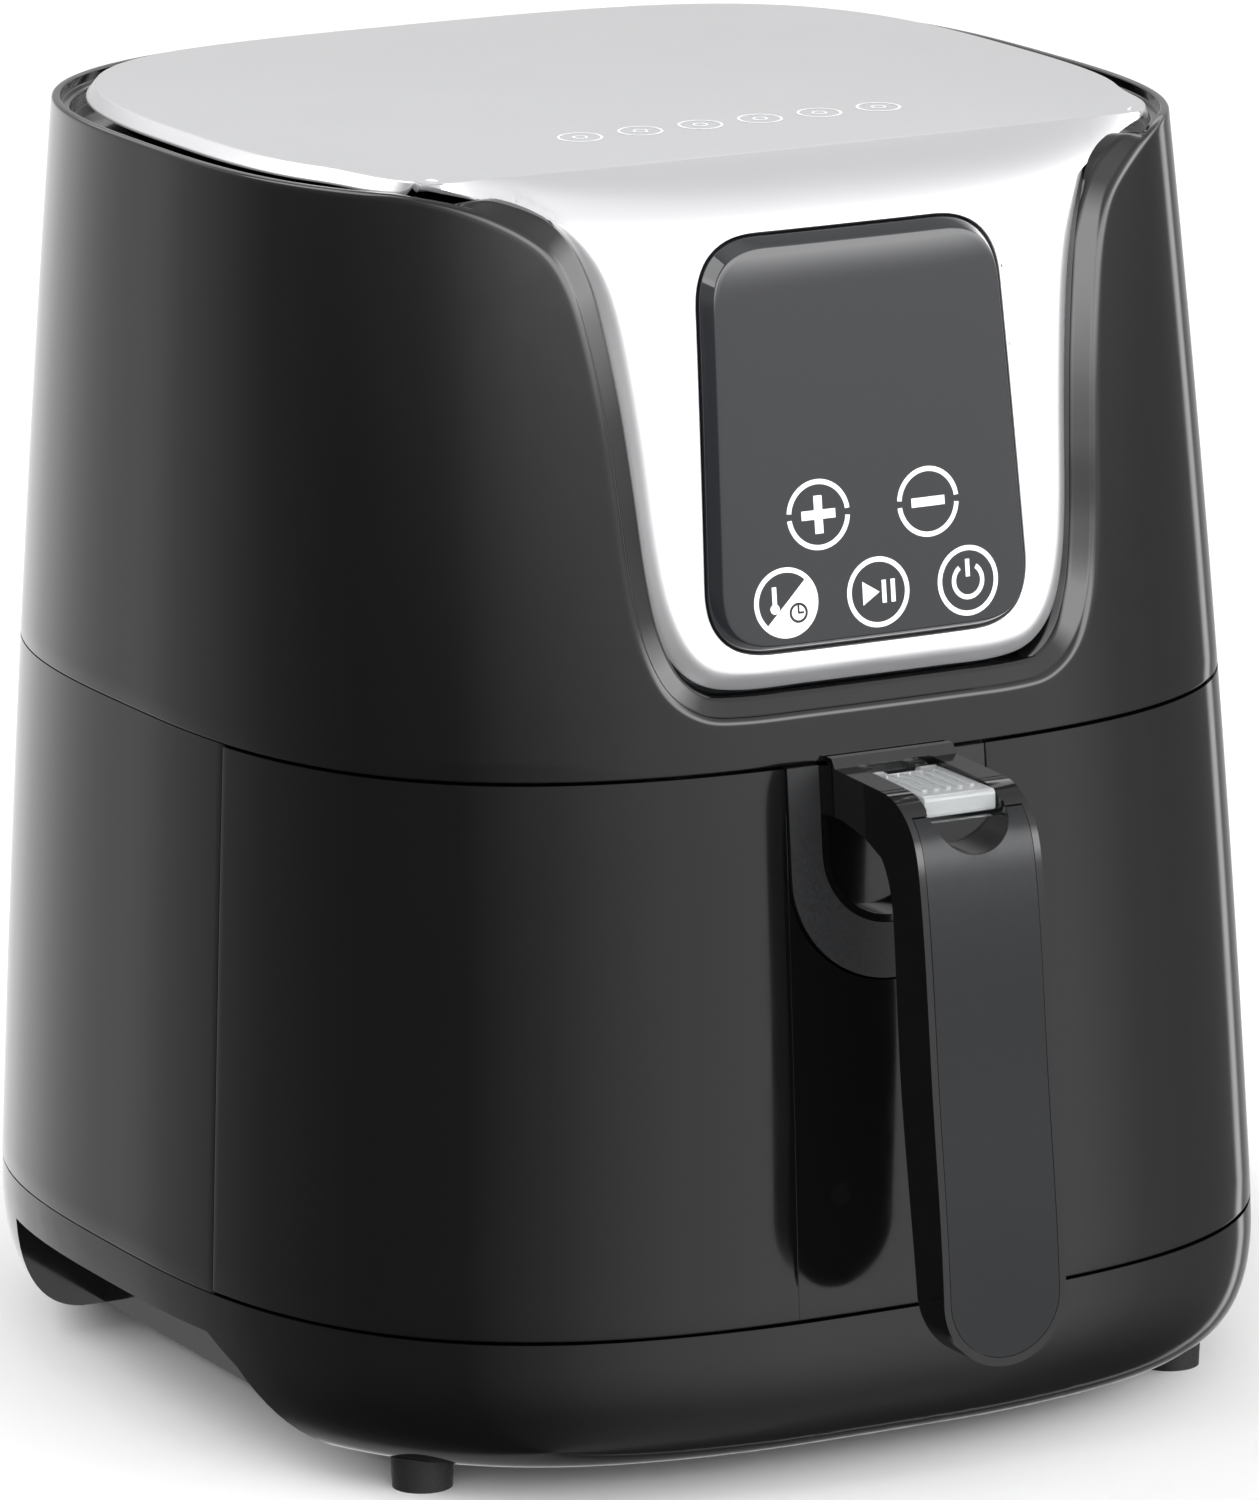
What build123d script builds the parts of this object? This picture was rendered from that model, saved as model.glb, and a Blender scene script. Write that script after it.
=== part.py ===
from build123d import *
import os
from math import cos, pi, radians, sin

# Millimetres. +Z is up and -Y is the front, where the drawer comes out. Every function works in the
# casing's own frame, with the casing's vertical centre line at x = y = 0 and the floor at z = 0;
# save() then shifts each piece back so that the file's origin is under the middle of the whole outline.

# ---- casing -------------------------------------------------------------------------------------
SEAM_LOW = 40.4            # base to drawer front
SEAM_HIGH = 168.8          # drawer front to upper housing
RIM = 300.0                # top edge of the upper housing
SEAM_GAP = 0.6
HALF_WIDTH = 135.0         # at the lower seam
HALF_DEPTH = 141.3         # at the lower seam
WIDTH_TAPER = (-0.0505, -3.13e-5)     # change of half width with height above the lower seam
DEPTH_TAPER = (-0.0271, -2.198e-4)
PLAN_POWER = 2.95          # plan of the casing is a superellipse
WALL = 2.8
SIDE_SEAM = -50.0          # y of the vertical seam between drawer front and lower housing
TOUCH = 0.02               # overlap that welds two solids of one piece

BASE_BOTTOM = 6.8
BASE_TUCK = 20.0           # how far the base curls in under the casing
BASE_CURL = 2.5            # power of that curl
NOTCH_TOP = 31.0           # hand-holds in the base's sides
NOTCH_X = 108.0
NOTCH_Y = (-52.0, 62.0)
NOTCH_SLOPE = 24.0
FOOT_XY = (99.0, 91.0)
FOOT_R = 7.8

# ---- top and fascia -----------------------------------------------------------------------------
PANEL_INSET = 7.5         # top panel's edge, inside the rim
FASCIA_INSET = 3.2         # fascia's face, behind the casing's skin
PANEL_T = 2.4
CROWN = 304.6
CREASE = (-94.0, 302.2)
OPENING = [(84, 301), (74.5, 292), (69, 281), (65.3, 266), (62.8, 243), (61.6, 220),
           (59, 200), (54, 187.5), (45.5, 181.3), (36, 180)]
TONGUE = [(81, 301), (70, 293), (64.5, 285), (60.8, 275), (58.3, 262), (57, 243),
          (56, 220), (54.2, 206), (50, 195), (43, 188.2), (33, 186)]
RETURN_T = 1.8
GLASS_TOP = (37.8, 287.6)
GLASS_LOW = (41.2, 194.6)
GLASS_R = 11.0
GLASS_GAP = 0.6
GLASS_RISE = 3.4           # window's face, in front of the fascia
GLASS_SLOPE = 1.9          # width of the window's edge

# ---- pan, basket and chamber --------------------------------------------------------------------
PAN_X = 103.0
PAN_Y = (-116.0, 106.0)
PAN_Z = (49.0, 164.0)
PAN_R = 46.0
PAN_T = 1.2
PAN_FLANGE = 5.0
PAN_DRAFT = 5.0
BASKET_X = 94.0
BASKET_Y = (-107.0, 97.0)
BASKET_Z = (58.0, 158.0)
BASKET_R = 40.0
BASKET_DRAFT = 7.0
HOOD_X = 112.0
HOOD_Y = (-112.0, 114.0)
HOOD_Z = (170.0, 206.0)
HOOD_R = 50.0
SHEET = 1.0
DECK_Z = (37.4, 40.0)
GUIDE_X = 66.0
ELEMENT_R = (84.0, 68.0)
ELEMENT_TUBE = 3.2
ELEMENT_Z = 180.0
ELEMENT_GAP = 12.0         # degrees from the +X line to each end of the element's turns
GUARD_R = 98.0
GUARD_Z = (171.6, 173.2)
GLAND_XZ = (58.0, 62.0)
GLAND_R = 7.0
CORD_R = 3.7
SWITCH_X = -121.0
SWITCH_Z = 104.0

# ---- fan and motor ------------------------------------------------------------------------------
SHAFT_R = 3.0
SHAFT_Z = (184.0, 273.0)
BEARING_PLAY = 0.05
FAN_R = 62.0
FAN_Z = (189.0, 201.0)
FAN_BLADES = 12
COOLER_R = 42.0
COOLER_Z = (214.0, 223.0)
COOLER_BLADES = 9
FRAME_Z = (229.0, 232.0)
STATOR_Z = (244.0, 262.0)
ROTOR_R = 12.7
SCREW_X = 22.0

# ---- handle -------------------------------------------------------------------------------------
GRIP_HALF = 15.7
GRIP_TIP = 38.7
GRIP_FACE = [(-160.3, 167.4), (-168.5, 165.4), (-175.0, 159.4), (-177.9, 150.0), (-183.0, 104.0),
             (-187.0, 68.0), (-188.4, 38.0)]
GRIP_BACK = [(-160.3, 152.0), (-164.0, 146.0), (-165.7, 137.0), (-168.2, 104.0), (-173.4, 68.0), (-177.4, 38.0)]
FACE_HALF = 13.9
FACE_T = 1.2
NECK_FRONT = -160.0
NECK_SIDE = [(-134.9, 170.4), (-137.0, 170.4), (-138.6, 168.2), (-160.0, 167.5), (-160.0, 152.2),
             (-152.0, 155.3), (-142.0, 157.0), (-130.6, 157.0), (-130.6, 168.2), (-134.9, 168.2)]
PLATE_HALF = 25.4
PLATE_LOW = 117.8
BOWL_HALF = 17.5
BOWL_LOW = 130.5
BOWL_Y = (-130.6, -129.2)
STRAP_SCREW = (12.3, 161.0)
COVER_HINGE = (-141.0, 164.9)
COVER_HALF = 9.0
COVER_FRONT = -168.4
COVER_Z = (165.0, 166.8)
COVER_PIN_R = 0.8
KNUCKLE_R = 2.0
WELL_HALF = 7.4
WELL_FLOOR = 158.2
BUTTON_Y = (-154.8, -144.4)
BUTTON_HALF = 7.0
BUTTON_Z = (161.6, 163.4)
STEM_Y = -146.0
SPRING_XY = (5.0, -151.5)
LEVER_PIVOT = (-157.5, 158.4)
LEVER_HALF = 2.5
LEVER_PIN_R = 1.2
LEVER_TOP = 158.8
HOOK_Y = (-125.5, -123.5)
HOOK_Z = (143.5, 146.0)
CATCH_Z = 146.4

BODY_SHIFT = (-GRIP_FACE[-1][0] - HALF_DEPTH) / 2


def save(name, shape):
    solids = shape.solids()
    whole = solids[0] if len(solids) == 1 else Compound(children=list(solids))
    export_step(Pos(0, BODY_SHIFT, 0) * whole, f"parts/{name}.step")


# ---- plain shapes -------------------------------------------------------------------------------
def block(x0, x1, y0, y1, z0, z1):
    centre = Pos((x0 + x1) / 2, (y0 + y1) / 2, (z0 + z1) / 2)
    return centre * Box(abs(x1 - x0), abs(y1 - y0), abs(z1 - z0))


def rod_z(r, z0, z1, x=0.0, y=0.0):
    return Pos(x, y, (z0 + z1) / 2) * Cylinder(r, z1 - z0)


def rod_y(r, y0, y1, x, z):
    return Pos(x, (y0 + y1) / 2, z) * Rot(90, 0, 0) * Cylinder(r, y1 - y0)


def rod_x(r, x0, x1, y, z):
    return Pos((x0 + x1) / 2, y, z) * Rot(0, 90, 0) * Cylinder(r, x1 - x0)


def tub(half_x, ys, zs, corner, draft=0.0, grow=0.0):
    """A rounded box that narrows by draft on each side towards its foot."""
    y_mid = (ys[0] + ys[1]) / 2
    wide = 2 * (half_x + grow)
    deep = ys[1] - ys[0] + 2 * grow
    top = Pos(0, y_mid, zs[1]) * RectangleRounded(wide, deep, corner + grow)
    if draft == 0:
        return extrude(top, amount=zs[0] - zs[1])
    narrow = RectangleRounded(wide - 2 * draft, deep - 2 * draft, corner + grow - draft * 0.6)
    return loft([Pos(0, y_mid, zs[0]) * narrow, top], ruled=True)


def front_prism(half, y0, y1):
    """A closed outline in the front view, its sides a smooth curve, carried from y0 to y1."""
    right = Spline(*[(x, y0, z) for x, z in half])
    left = Spline(*[(-x, y0, z) for x, z in half])
    low = Line(right @ 1, left @ 1)
    high = Line(right @ 0, left @ 0)
    face = make_face([right, left, low, high])
    return extrude(face, amount=y1 - y0, dir=(0, 1, 0))


def u_prism(half, low, high, y0, y1):
    """A plate with a half-round foot, seen from the front."""
    stem = block(-half, half, y0, y1, low + half, high)
    return stem + rod_y(half, y0, y1, 0, low + half)


def side_prism(points, x0, x1):
    """A closed polygon in the side view (y, z), carried from x0 to x1."""
    face = make_face(Polyline(*[(x0, y, z) for y, z in points], close=True))
    return extrude(face, amount=x1 - x0, dir=(1, 0, 0))


# ---- casing surfaces ----------------------------------------------------------------------------
def half_size(z):
    h = z - SEAM_LOW
    return (HALF_WIDTH + WIDTH_TAPER[0] * h + WIDTH_TAPER[1] * h * h,
            HALF_DEPTH + DEPTH_TAPER[0] * h + DEPTH_TAPER[1] * h * h)


def tuck(z):
    """How far the base's outline lies inside the casing's at height z."""
    s = max(0.0, (SEAM_LOW - z) / (SEAM_LOW - BASE_BOTTOM))
    return BASE_TUCK * (1 - (1 - s ** BASE_CURL) ** (1 / BASE_CURL))


def ring(z, inset, steps=6):
    """Superellipse |x/a|^n + |y/b|^n = 1 as four smooth quarters."""
    a, b = (size - inset for size in half_size(z))
    quarter = []
    for k in range(steps + 1):
        t = pi / 2 * k / steps
        r = ((abs(cos(t)) / a) ** PLAN_POWER + (abs(sin(t)) / b) ** PLAN_POWER) ** (-1 / PLAN_POWER)
        quarter.append((r * cos(t), r * sin(t)))
    quarter[0] = (a, 0)
    quarter[-1] = (0, b)
    edges = []
    for sx, sy in ((1, 1), (-1, 1), (-1, -1), (1, -1)):
        points = [(sx * x, sy * y, z) for x, y in quarter]
        edges.append(Spline(*points, tangents=((0, sy, 0), (-sx, 0, 0))))
    return make_face(edges)


def skin(inset, z0, z1, levels=3):
    """The casing's outline at this inset, lofted from z0 to z1."""
    heights = [z0 + (z1 - z0) * k / (levels - 1) for k in range(levels)]
    return loft([ring(z, inset) for z in heights])


def base_form(inset, z0):
    share = (1.0, 0.82, 0.6, 0.36, 0.16, 0.05, 0.0)
    heights = [z0 + (SEAM_LOW - z0) * s for s in share]
    outer = [BASE_BOTTOM + (SEAM_LOW - BASE_BOTTOM) * s for s in share]
    return loft([ring(z, inset + tuck(zo)) for z, zo in zip(heights, outer)])


# ---- casing pieces ------------------------------------------------------------------------------
def glass_outline(gap):
    (xt, zt), (xl, zl) = GLASS_TOP, GLASS_LOW
    points = [(xt + gap, zt + gap), (-xt - gap, zt + gap), (-xl - gap, zl - gap), (xl + gap, zl - gap)]
    sketch = make_face(Polyline(*[(x, z) for x, z in points], close=True))
    sketch = fillet(sketch.vertices(), GLASS_R + gap)
    return extrude(Plane.XZ * sketch, amount=160)


def grille_outline(gap):
    sketch = Plane.XZ * Pos(0, 226) * RectangleRounded(112 - 2 * gap, 52 - 2 * gap, 9 - gap)
    return extrude(sketch, amount=-160)


def widened(half, d):
    """The half outline moved outwards by d at its side, and downwards by d towards its foot."""
    last = len(half) - 1
    return [(x + d, z - d * (k / last) ** 3) for k, (x, z) in enumerate(half)]


def upper_housing():
    low = SEAM_HIGH + SEAM_GAP / 2
    shell = skin(0, low, RIM) - skin(WALL, low - 1, RIM + 1)
    ledge = skin(WALL - 0.5, 291.0, 293.6, 2) - skin(17, 290, 295, 2)
    shell = shell + ledge
    shell -= front_prism(OPENING, -160, -84)
    reveal = skin(WALL - 1, low + 1, 297) - skin(7.4, low, 298)
    reveal &= front_prism(widened(OPENING, RETURN_T), -160, -70) - front_prism(OPENING, -160, -60)
    lip = skin(6.0, low + 1, 297) - skin(7.4, low, 298)
    lip &= front_prism(widened(OPENING, 0.5), -160, -70) - front_prism(widened(TONGUE, -2.5), -160, -60)
    shell += (reveal + lip) & panel_form(0, PANEL_T + 0.6)
    shell -= grille_outline(0)
    inside = skin(1, low, low + 16, 2)
    for x, y in housing_screw_places():
        rib = block(min(x, 1.08 * x), max(x, 1.08 * x), y - 2, y + 2, low, low + 14)
        shell += (rod_z(4.2, low, low + 14, x, y) + rib) & inside
        shell -= rod_z(1.5, low - 1, low + 11, x, y)
    return shell


def housing_screw_places():
    return [(sx * 119, y) for sx in (-1, 1) for y in (-30, 50)]


def lower_housing():
    high = SEAM_HIGH + SEAM_GAP / 2
    shell = skin(0, SEAM_LOW, high) - skin(WALL, SEAM_LOW - 1, high + 1)
    shell &= block(-150, 150, SIDE_SEAM, 150, 0, 200)
    rim = skin(WALL - 0.5, high - 3, high, 2) - tub(HOOD_X + 3, (HOOD_Y[0], HOOD_Y[1] + 3), (150, 180), HOOD_R)
    rim &= block(-150, 150, SIDE_SEAM, 150, 0, 200)
    jamb = skin(WALL - 0.5, SEAM_LOW, high) & block(-150, 150, SIDE_SEAM, SIDE_SEAM + 2.5, 0, 200)
    jamb -= block(-HOOD_X - 2, HOOD_X + 2, -80, 0, 0, 200)
    shell = shell + rim + jamb
    for x, y in housing_screw_places():
        shell -= rod_z(1.9, high - 4, high + 1, x, y)
    shell -= rod_y(GLAND_R, 100, 160, *GLAND_XZ)
    shell -= rod_y(2.2, SIDE_SEAM - 1, SIDE_SEAM + 3, SWITCH_X, SWITCH_Z)
    return shell


def notch(side, grow=0.0):
    """The hand-hold's space: a block with a sloping front end, open downwards and outwards."""
    y0, y1 = NOTCH_Y
    points = [(y0 - NOTCH_SLOPE - grow, -5), (y0 - NOTCH_SLOPE - grow, 9), (y0 - 8 - grow, 25),
              (y0 + 3 - grow, NOTCH_TOP + grow), (y1 + grow, NOTCH_TOP + grow), (y1 + grow, -5)]
    inner = NOTCH_X - grow
    form = side_prism(points, inner, 160)
    return form if side > 0 else mirror(form, about=Plane.YZ)


def base():
    outer = base_form(0, BASE_BOTTOM)
    cavity = base_form(WALL, BASE_BOTTOM + 2.5)
    for side in (-1, 1):
        cavity -= notch(side, 2.2)
    form = outer - cavity
    for x, y in base_screw_places():
        form += rod_z(6, BASE_BOTTOM + 0.5, 18, x, y)
        form -= rod_z(4.2, 0, 13, x, y) + rod_z(1.9, 12, 20, x, y)
    for side in (-1, 1):
        form -= notch(side)
    for row in range(5):
        form -= block(-22, 22, 30 + 9 * row, 33 + 9 * row, 0, BASE_BOTTOM + 3)
    return form


def base_screw_places():
    return [(sx * 82, sy * 84) for sx in (-1, 1) for sy in (-1, 1)]


def base_deck():
    low, high = DECK_Z
    plate = ring(high, WALL + tuck(low) + 0.3)
    plate = extrude(plate, amount=low - high)
    for x, y in base_screw_places():
        plate += rod_z(4.5, 18.1, low + 0.5, x, y) - rod_z(1.55, 17, 30, x, y)
    return plate


def rubber_feet():
    taper = loft([Plane.XY * Circle(FOOT_R - 0.8), Pos(0, 0, 14) * Circle(FOOT_R)], ruled=True)
    form = base_form(0, BASE_BOTTOM)
    form = Pos(0, 0, -0.1) * form
    feet = [Pos(sx * FOOT_XY[0], sy * FOOT_XY[1], 0) * taper - form for sx, sy in FEET]
    return Compound(children=feet)


def panel_form(inset, lower):
    """The top panel's outer form, or its inside when lower is the plate's thickness."""
    y_rear = half_size(RIM)[1] - PANEL_INSET
    front = half_size(276)[1] - FASCIA_INSET
    crest = Spline((0, y_rear, 301.6), (0, 20, CROWN), (0, CREASE[0], CREASE[1]))
    shoulder = Spline(crest @ 1, (0, -108, 297.6), (0, -116.4, 288), (0, -front - 1.2, 272),
                      tangents=((0, -1, -0.12), (0, -0.1, -1)))
    low = Polyline((0, -front - 1.2, 272), (0, -150, 272), (0, -150, 150), (0, y_rear, 150), (0, y_rear, 301.6))
    side = extrude(make_face([crest, shoulder, *low.edges()]), amount=130, both=True, dir=(1, 0, 0))
    return (Pos(0, 0, -lower) * side) & skin(inset, 150, 306, 4)


def top_panel():
    form = panel_form(FASCIA_INSET, 0) - panel_form(FASCIA_INSET + PANEL_T, PANEL_T)
    lid = extrude(ring(RIM, PANEL_INSET), amount=20, both=True) & block(-150, 150, -98, 150, 290, 320)
    tongue = front_prism(TONGUE, -160, -70)
    form &= lid + tongue
    skirt_ring = extrude(ring(RIM, PANEL_INSET), amount=-5.4)
    skirt_ring -= extrude(ring(RIM, PANEL_INSET + PANEL_T), amount=-6)
    skirt = Pos(0, 0, -0.6) * skirt_ring & block(-150, 150, -97, 150, 280, 320)
    skirt &= panel_form(FASCIA_INSET, 0.3)
    form += skirt
    return form - glass_outline(GLASS_GAP)


def control_glass():
    back = skin(FASCIA_INSET + 3.4, 189, 293, 3)
    body = (skin(FASCIA_INSET - 0.4, 190, 292, 3) - back) & glass_outline(0)
    face = (skin(FASCIA_INSET - GLASS_RISE, 190, 292, 3) - back) & glass_outline(-GLASS_SLOPE)
    body &= panel_form(FASCIA_INSET - 2, 0)
    face &= Pos(0, -GLASS_RISE, 0) * panel_form(FASCIA_INSET - 8, 0)
    return body + face


def display_tray():
    outer, inner = FASCIA_INSET + 3.5, 13.0
    frame = skin(outer, 188, 293, 3) - skin(inner, 187, 294, 3)
    frame &= glass_outline(3.0) - glass_outline(-2.5)
    return frame & panel_form(outer - 1, PANEL_T + 0.8)


def control_board():
    plate = skin(13.2, 191, 291, 3) - skin(14.8, 190, 292, 3)
    return plate & glass_outline(2.4)


def display_module():
    block_form = skin(9.2, 240, 280, 3) - skin(12.8, 239, 281, 3)
    return block_form & block(-26, 26, -150, -100, 248, 274)


def touch_places():
    return [(-14.1, 225), (14.1, 225), (-23.4, 206), (0, 206), (23.4, 206)]


def touch_springs():
    springs = []
    for x, z in touch_places():
        face = half_size(z)[1] * (1 - abs(x / HALF_WIDTH) ** PLAN_POWER / PLAN_POWER)
        springs.append(rod_y(4.2, -face + 7.2, -face + 12.2, x, z) - rod_y(3.2, -160, -100, x, z))
    return Compound(children=springs)


def rear_grille():
    plate = skin(0.6, 196, 256, 3) - skin(3.6, 195, 257, 3)
    plate &= grille_outline(0.4)
    for row in range(6):
        z = 208.5 + 7 * row
        plate -= Pos(0, 150, z) * Box(94, 80, 3.2)
    return plate


def exhaust_duct():
    """A short box duct from the hood's back to the grille."""
    near = HOOD_Y[1] + SHEET + 0.2
    far = near + 3.6
    duct = block(-46, 46, near, far, 174, 244) - block(-44.8, 44.8, near + 1.2, far + 1, 175.2, 242.8)
    return duct - block(-44.8, 44.8, near - 1, far, 175.2, 202.8)


def cord_gland():
    x, z = GLAND_XZ
    y = 136.5
    bush = rod_y(GLAND_R - 0.1, y - 12, y, x, z) + rod_y(GLAND_R + 2.2, y - 0.5, y + 2.0, x, z)
    bush -= rod_y(CORD_R, 100, 160, x, z)
    return bush - (skin(0, 40.5, 90) - skin(WALL, 40, 91) - rod_y(GLAND_R, 100, 160, x, z))


# ---- chamber ------------------------------------------------------------------------------------
def cooking_chamber():
    hood = tub(HOOD_X, HOOD_Y, HOOD_Z, HOOD_R, grow=SHEET)
    hood -= tub(HOOD_X, HOOD_Y, (HOOD_Z[0] - 1, HOOD_Z[1] - SHEET), HOOD_R)
    walls = tub(HOOD_X, HOOD_Y, (DECK_Z[1], HOOD_Z[0] + TOUCH), HOOD_R, grow=SHEET)
    walls -= tub(HOOD_X, HOOD_Y, (DECK_Z[1] - 1, HOOD_Z[0] + 1), HOOD_R)
    walls -= block(-150, 150, -150, SIDE_SEAM + 3.5, 0, HOOD_Z[0])
    chamber = hood + walls
    chamber -= rod_z(9, 200, 210)
    chamber -= block(-44.8, 44.8, 100, 130, 176, 202)
    for x, y in element_legs():
        chamber -= rod_z(4.6, 200, 210, x, y)
    return chamber


def element_legs():
    a = radians(ELEMENT_GAP)
    return [(r * cos(a), r * sin(a)) for r in ELEMENT_R]


def heating_element():
    """One tube: an outer turn, a U-bend inwards, an inner turn back, and two legs up through the roof."""
    outer, inner = ELEMENT_R
    span = 360 - 2 * ELEMENT_GAP
    end = radians(-ELEMENT_GAP)
    middle = (outer + inner) / 2
    turn = CenterArc((0, 0, ELEMENT_Z), outer, ELEMENT_GAP, span)
    bend = CenterArc((middle * cos(end), middle * sin(end), ELEMENT_Z), (outer - inner) / 2, -ELEMENT_GAP, 180)
    back = CenterArc((0, 0, ELEMENT_Z), inner, -ELEMENT_GAP, -span)
    path = Wire([turn, bend, back])
    tube = sweep(Plane(turn @ 0, z_dir=turn % 0) * Circle(ELEMENT_TUBE), path=path)
    for x, y in element_legs():
        tube += Pos(x, y, ELEMENT_Z) * Sphere(ELEMENT_TUBE)
        tube += rod_z(ELEMENT_TUBE, ELEMENT_Z, HOOD_Z[1] + 14, x, y)
    return tube


def element_clips():
    clips = []
    for angle in (60, 140, 220, 300):
        a = radians(angle)
        x, y = (ELEMENT_R[0] + ELEMENT_R[1]) / 2 * cos(a), (ELEMENT_R[0] + ELEMENT_R[1]) / 2 * sin(a)
        strap = Pos(x, y, ELEMENT_Z + ELEMENT_TUBE + 0.5) * Rot(0, 0, angle) * Box(28, 8, 1)
        post = rod_z(2, ELEMENT_Z + ELEMENT_TUBE + 0.5, HOOD_Z[1] - SHEET, x, y)
        clips.append(strap + post)
    return Compound(children=clips)


def element_guard():
    """Concentric rings on cross bars, hung from the hood by four tabs."""
    low, high = GUARD_Z
    guard = rod_z(GUARD_R, low, high) - rod_z(GUARD_R - 2.4, low - 1, high + 1)
    for r in (74, 50, 26):
        guard += rod_z(r, low, high) - rod_z(r - 2.4, low - 1, high + 1)
    for k in range(6):
        guard += Rot(0, 0, 30 * k) * block(1 - GUARD_R, GUARD_R - 1, -1.2, 1.2, high - TOUCH, high + 1.6)
    return guard


def heat_shield():
    plate = tub(106, (-100, 106), (210.5, 211.5), 44) - rod_z(10, 205, 215)
    for x, y in element_legs():
        plate -= rod_z(4.6, 205, 215, x, y)
    for x, y in ((-60, -60), (60, -60), (-60, 60), (60, 60)):
        plate += rod_z(3, HOOD_Z[1], 211, x, y)
    return plate


def thermal_fuse():
    roof = HOOD_Z[1] + 0.05
    return block(-12, 12, -88, -80, roof, roof + 1) + rod_x(1.8, -9, 9, -84, roof + 2.2)


def temperature_sensor():
    probe = rod_z(2, 176, 203, 40, -84) + Pos(40, -84, 176) * Sphere(2)
    return probe + block(34, 46, -88, -80, 203 - TOUCH, 204.9)


# ---- fan and motor ------------------------------------------------------------------------------
def motor_shaft():
    return rod_z(SHAFT_R, *SHAFT_Z)


def blade_wheel(hub_r, wheel_r, plate_z, zs, blades, thick):
    wheel = rod_z(hub_r, *zs) + rod_z(wheel_r, *plate_z)
    for k in range(blades):
        vane = block(hub_r - 1, wheel_r - 1, -thick / 2, thick / 2, *zs)
        wheel += Rot(0, 0, 360 / blades * k) * vane
    return wheel - rod_z(SHAFT_R, zs[0] - 1, zs[1] + 1)


def convection_fan():
    return blade_wheel(9, FAN_R, (FAN_Z[1] - 1, FAN_Z[1]), FAN_Z, FAN_BLADES, 1.0)


def cooling_fan():
    return blade_wheel(8, COOLER_R, (COOLER_Z[1] - 1.2, COOLER_Z[1]), COOLER_Z, COOLER_BLADES, 1.4)


def fan_nut():
    nut = extrude(Pos(0, 0, FAN_Z[0] - 4.5) * RegularPolygon(5.5, 6), amount=4.4)
    return nut - rod_z(SHAFT_R, 180, 200)


def motor_rotor():
    return rod_z(ROTOR_R, STATOR_Z[0] - 1, STATOR_Z[1] + 1) - rod_z(SHAFT_R, 230, 270)


def motor_frame():
    """The deck that closes the hot end and carries the motor."""
    plate = extrude(ring(FRAME_Z[1], 12), amount=FRAME_Z[0] - FRAME_Z[1])
    plate &= block(-150, 150, -100, HOOD_Y[1] + 0.8, 200, 260)
    plate -= rod_z(18, 220, 240)
    for k in range(6):
        plate -= Rot(0, 0, 60 * k) * Pos(32, 0, FRAME_Z[0]) * Cylinder(6, 20)
    for sx in (-1, 1):
        plate -= rod_z(2, 220, 240, sx * SCREW_X, 0)
        for y in (-60, 66):
            plate += rod_z(4, 211.5, FRAME_Z[0] + TOUCH, sx * 78, y)
    return plate


def motor_stator():
    low, high = STATOR_Z
    core = block(-28, 28, -24, 38, low, high) - rod_z(ROTOR_R + 0.6, low - 1, high + 1)
    core -= block(-15, 15, 17, 26, low - 1, high + 1)
    for sx in (-1, 1):
        core -= rod_z(2, low - 1, high + 1, sx * SCREW_X, 0)
    return core


def motor_coil():
    low, high = STATOR_Z
    coil = block(-14, 14, 18, 45, low - 7, high + 7)
    return coil - block(-20, 20, 26, 38, low, high)


def motor_brackets():
    low = motor_bracket(STATOR_Z[0] - 6, (FRAME_Z[1], STATOR_Z[0]))
    high = motor_bracket(STATOR_Z[1] + 6, (STATOR_Z[1], STATOR_Z[1] + 6))
    return Compound(children=[low, high])


def motor_bracket(z, posts):
    plate = block(-27, 27, -9, 9, z - 0.8, z + 0.8)
    for sx in (-1, 1):
        x = sx * SCREW_X
        plate += rod_z(4.5, *posts, x, 0)
        plate -= rod_z(2, 225, 280, x, 0)
    return plate - rod_z(6, 225, 280)


def motor_bearings():
    bushes = []
    for z in (STATOR_Z[0] - 6, STATOR_Z[1] + 6):
        bushes.append(rod_z(6, z - 2.5, z + 2.5) - rod_z(SHAFT_R + BEARING_PLAY, z - 5, z + 5))
    return Compound(children=bushes)


def motor_screws():
    screws = []
    for sx in (-1, 1):
        x = sx * SCREW_X
        screws.append(rod_z(1.9, FRAME_Z[0] - 2, STATOR_Z[1] + 7, x, 0) + rod_z(3.6, 269, 271.4, x, 0))
    return Compound(children=screws)


# ---- electrics ----------------------------------------------------------------------------------
def power_board():
    return block(-94, -40, -30, 60, 240, 241.6) + sum_of([rod_z(2.5, FRAME_Z[1], 240 + TOUCH, x, y)
                                                          for x in (-90, -44) for y in (-26, 56)])


def sum_of(shapes):
    total = shapes[0]
    for shape in shapes[1:]:
        total = total + shape
    return total


def board_parts():
    relay = block(-88, -70, 30, 52, 241.6, 257)
    transformer = block(-66, -44, 26, 50, 241.6, 262)
    capacitor = rod_z(6, 241.6, 264, -80, 10)
    small = rod_z(4, 241.6, 254, -62, 10)
    terminals = block(-88, -50, -24, -12, 241.6, 252)
    return Compound(children=[relay, transformer, capacitor, small, terminals])


def interlock_switch():
    case = block(SWITCH_X - 5.5, SWITCH_X + 7, -47.4, -28, SWITCH_Z - 11, SWITCH_Z + 11)
    case &= skin(WALL + 0.2, 80, 130)
    case -= rod_y(1.56, -50, -40, SWITCH_X, SWITCH_Z)
    return case - rod_y(2.4, -40, -32, SWITCH_X, SWITCH_Z)


def interlock_plunger():
    pin = rod_y(1.5, SIDE_SEAM - 0.2, -38, SWITCH_X, SWITCH_Z)
    return pin + rod_y(2.1, -39.5, -37.5, SWITCH_X, SWITCH_Z)


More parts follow.
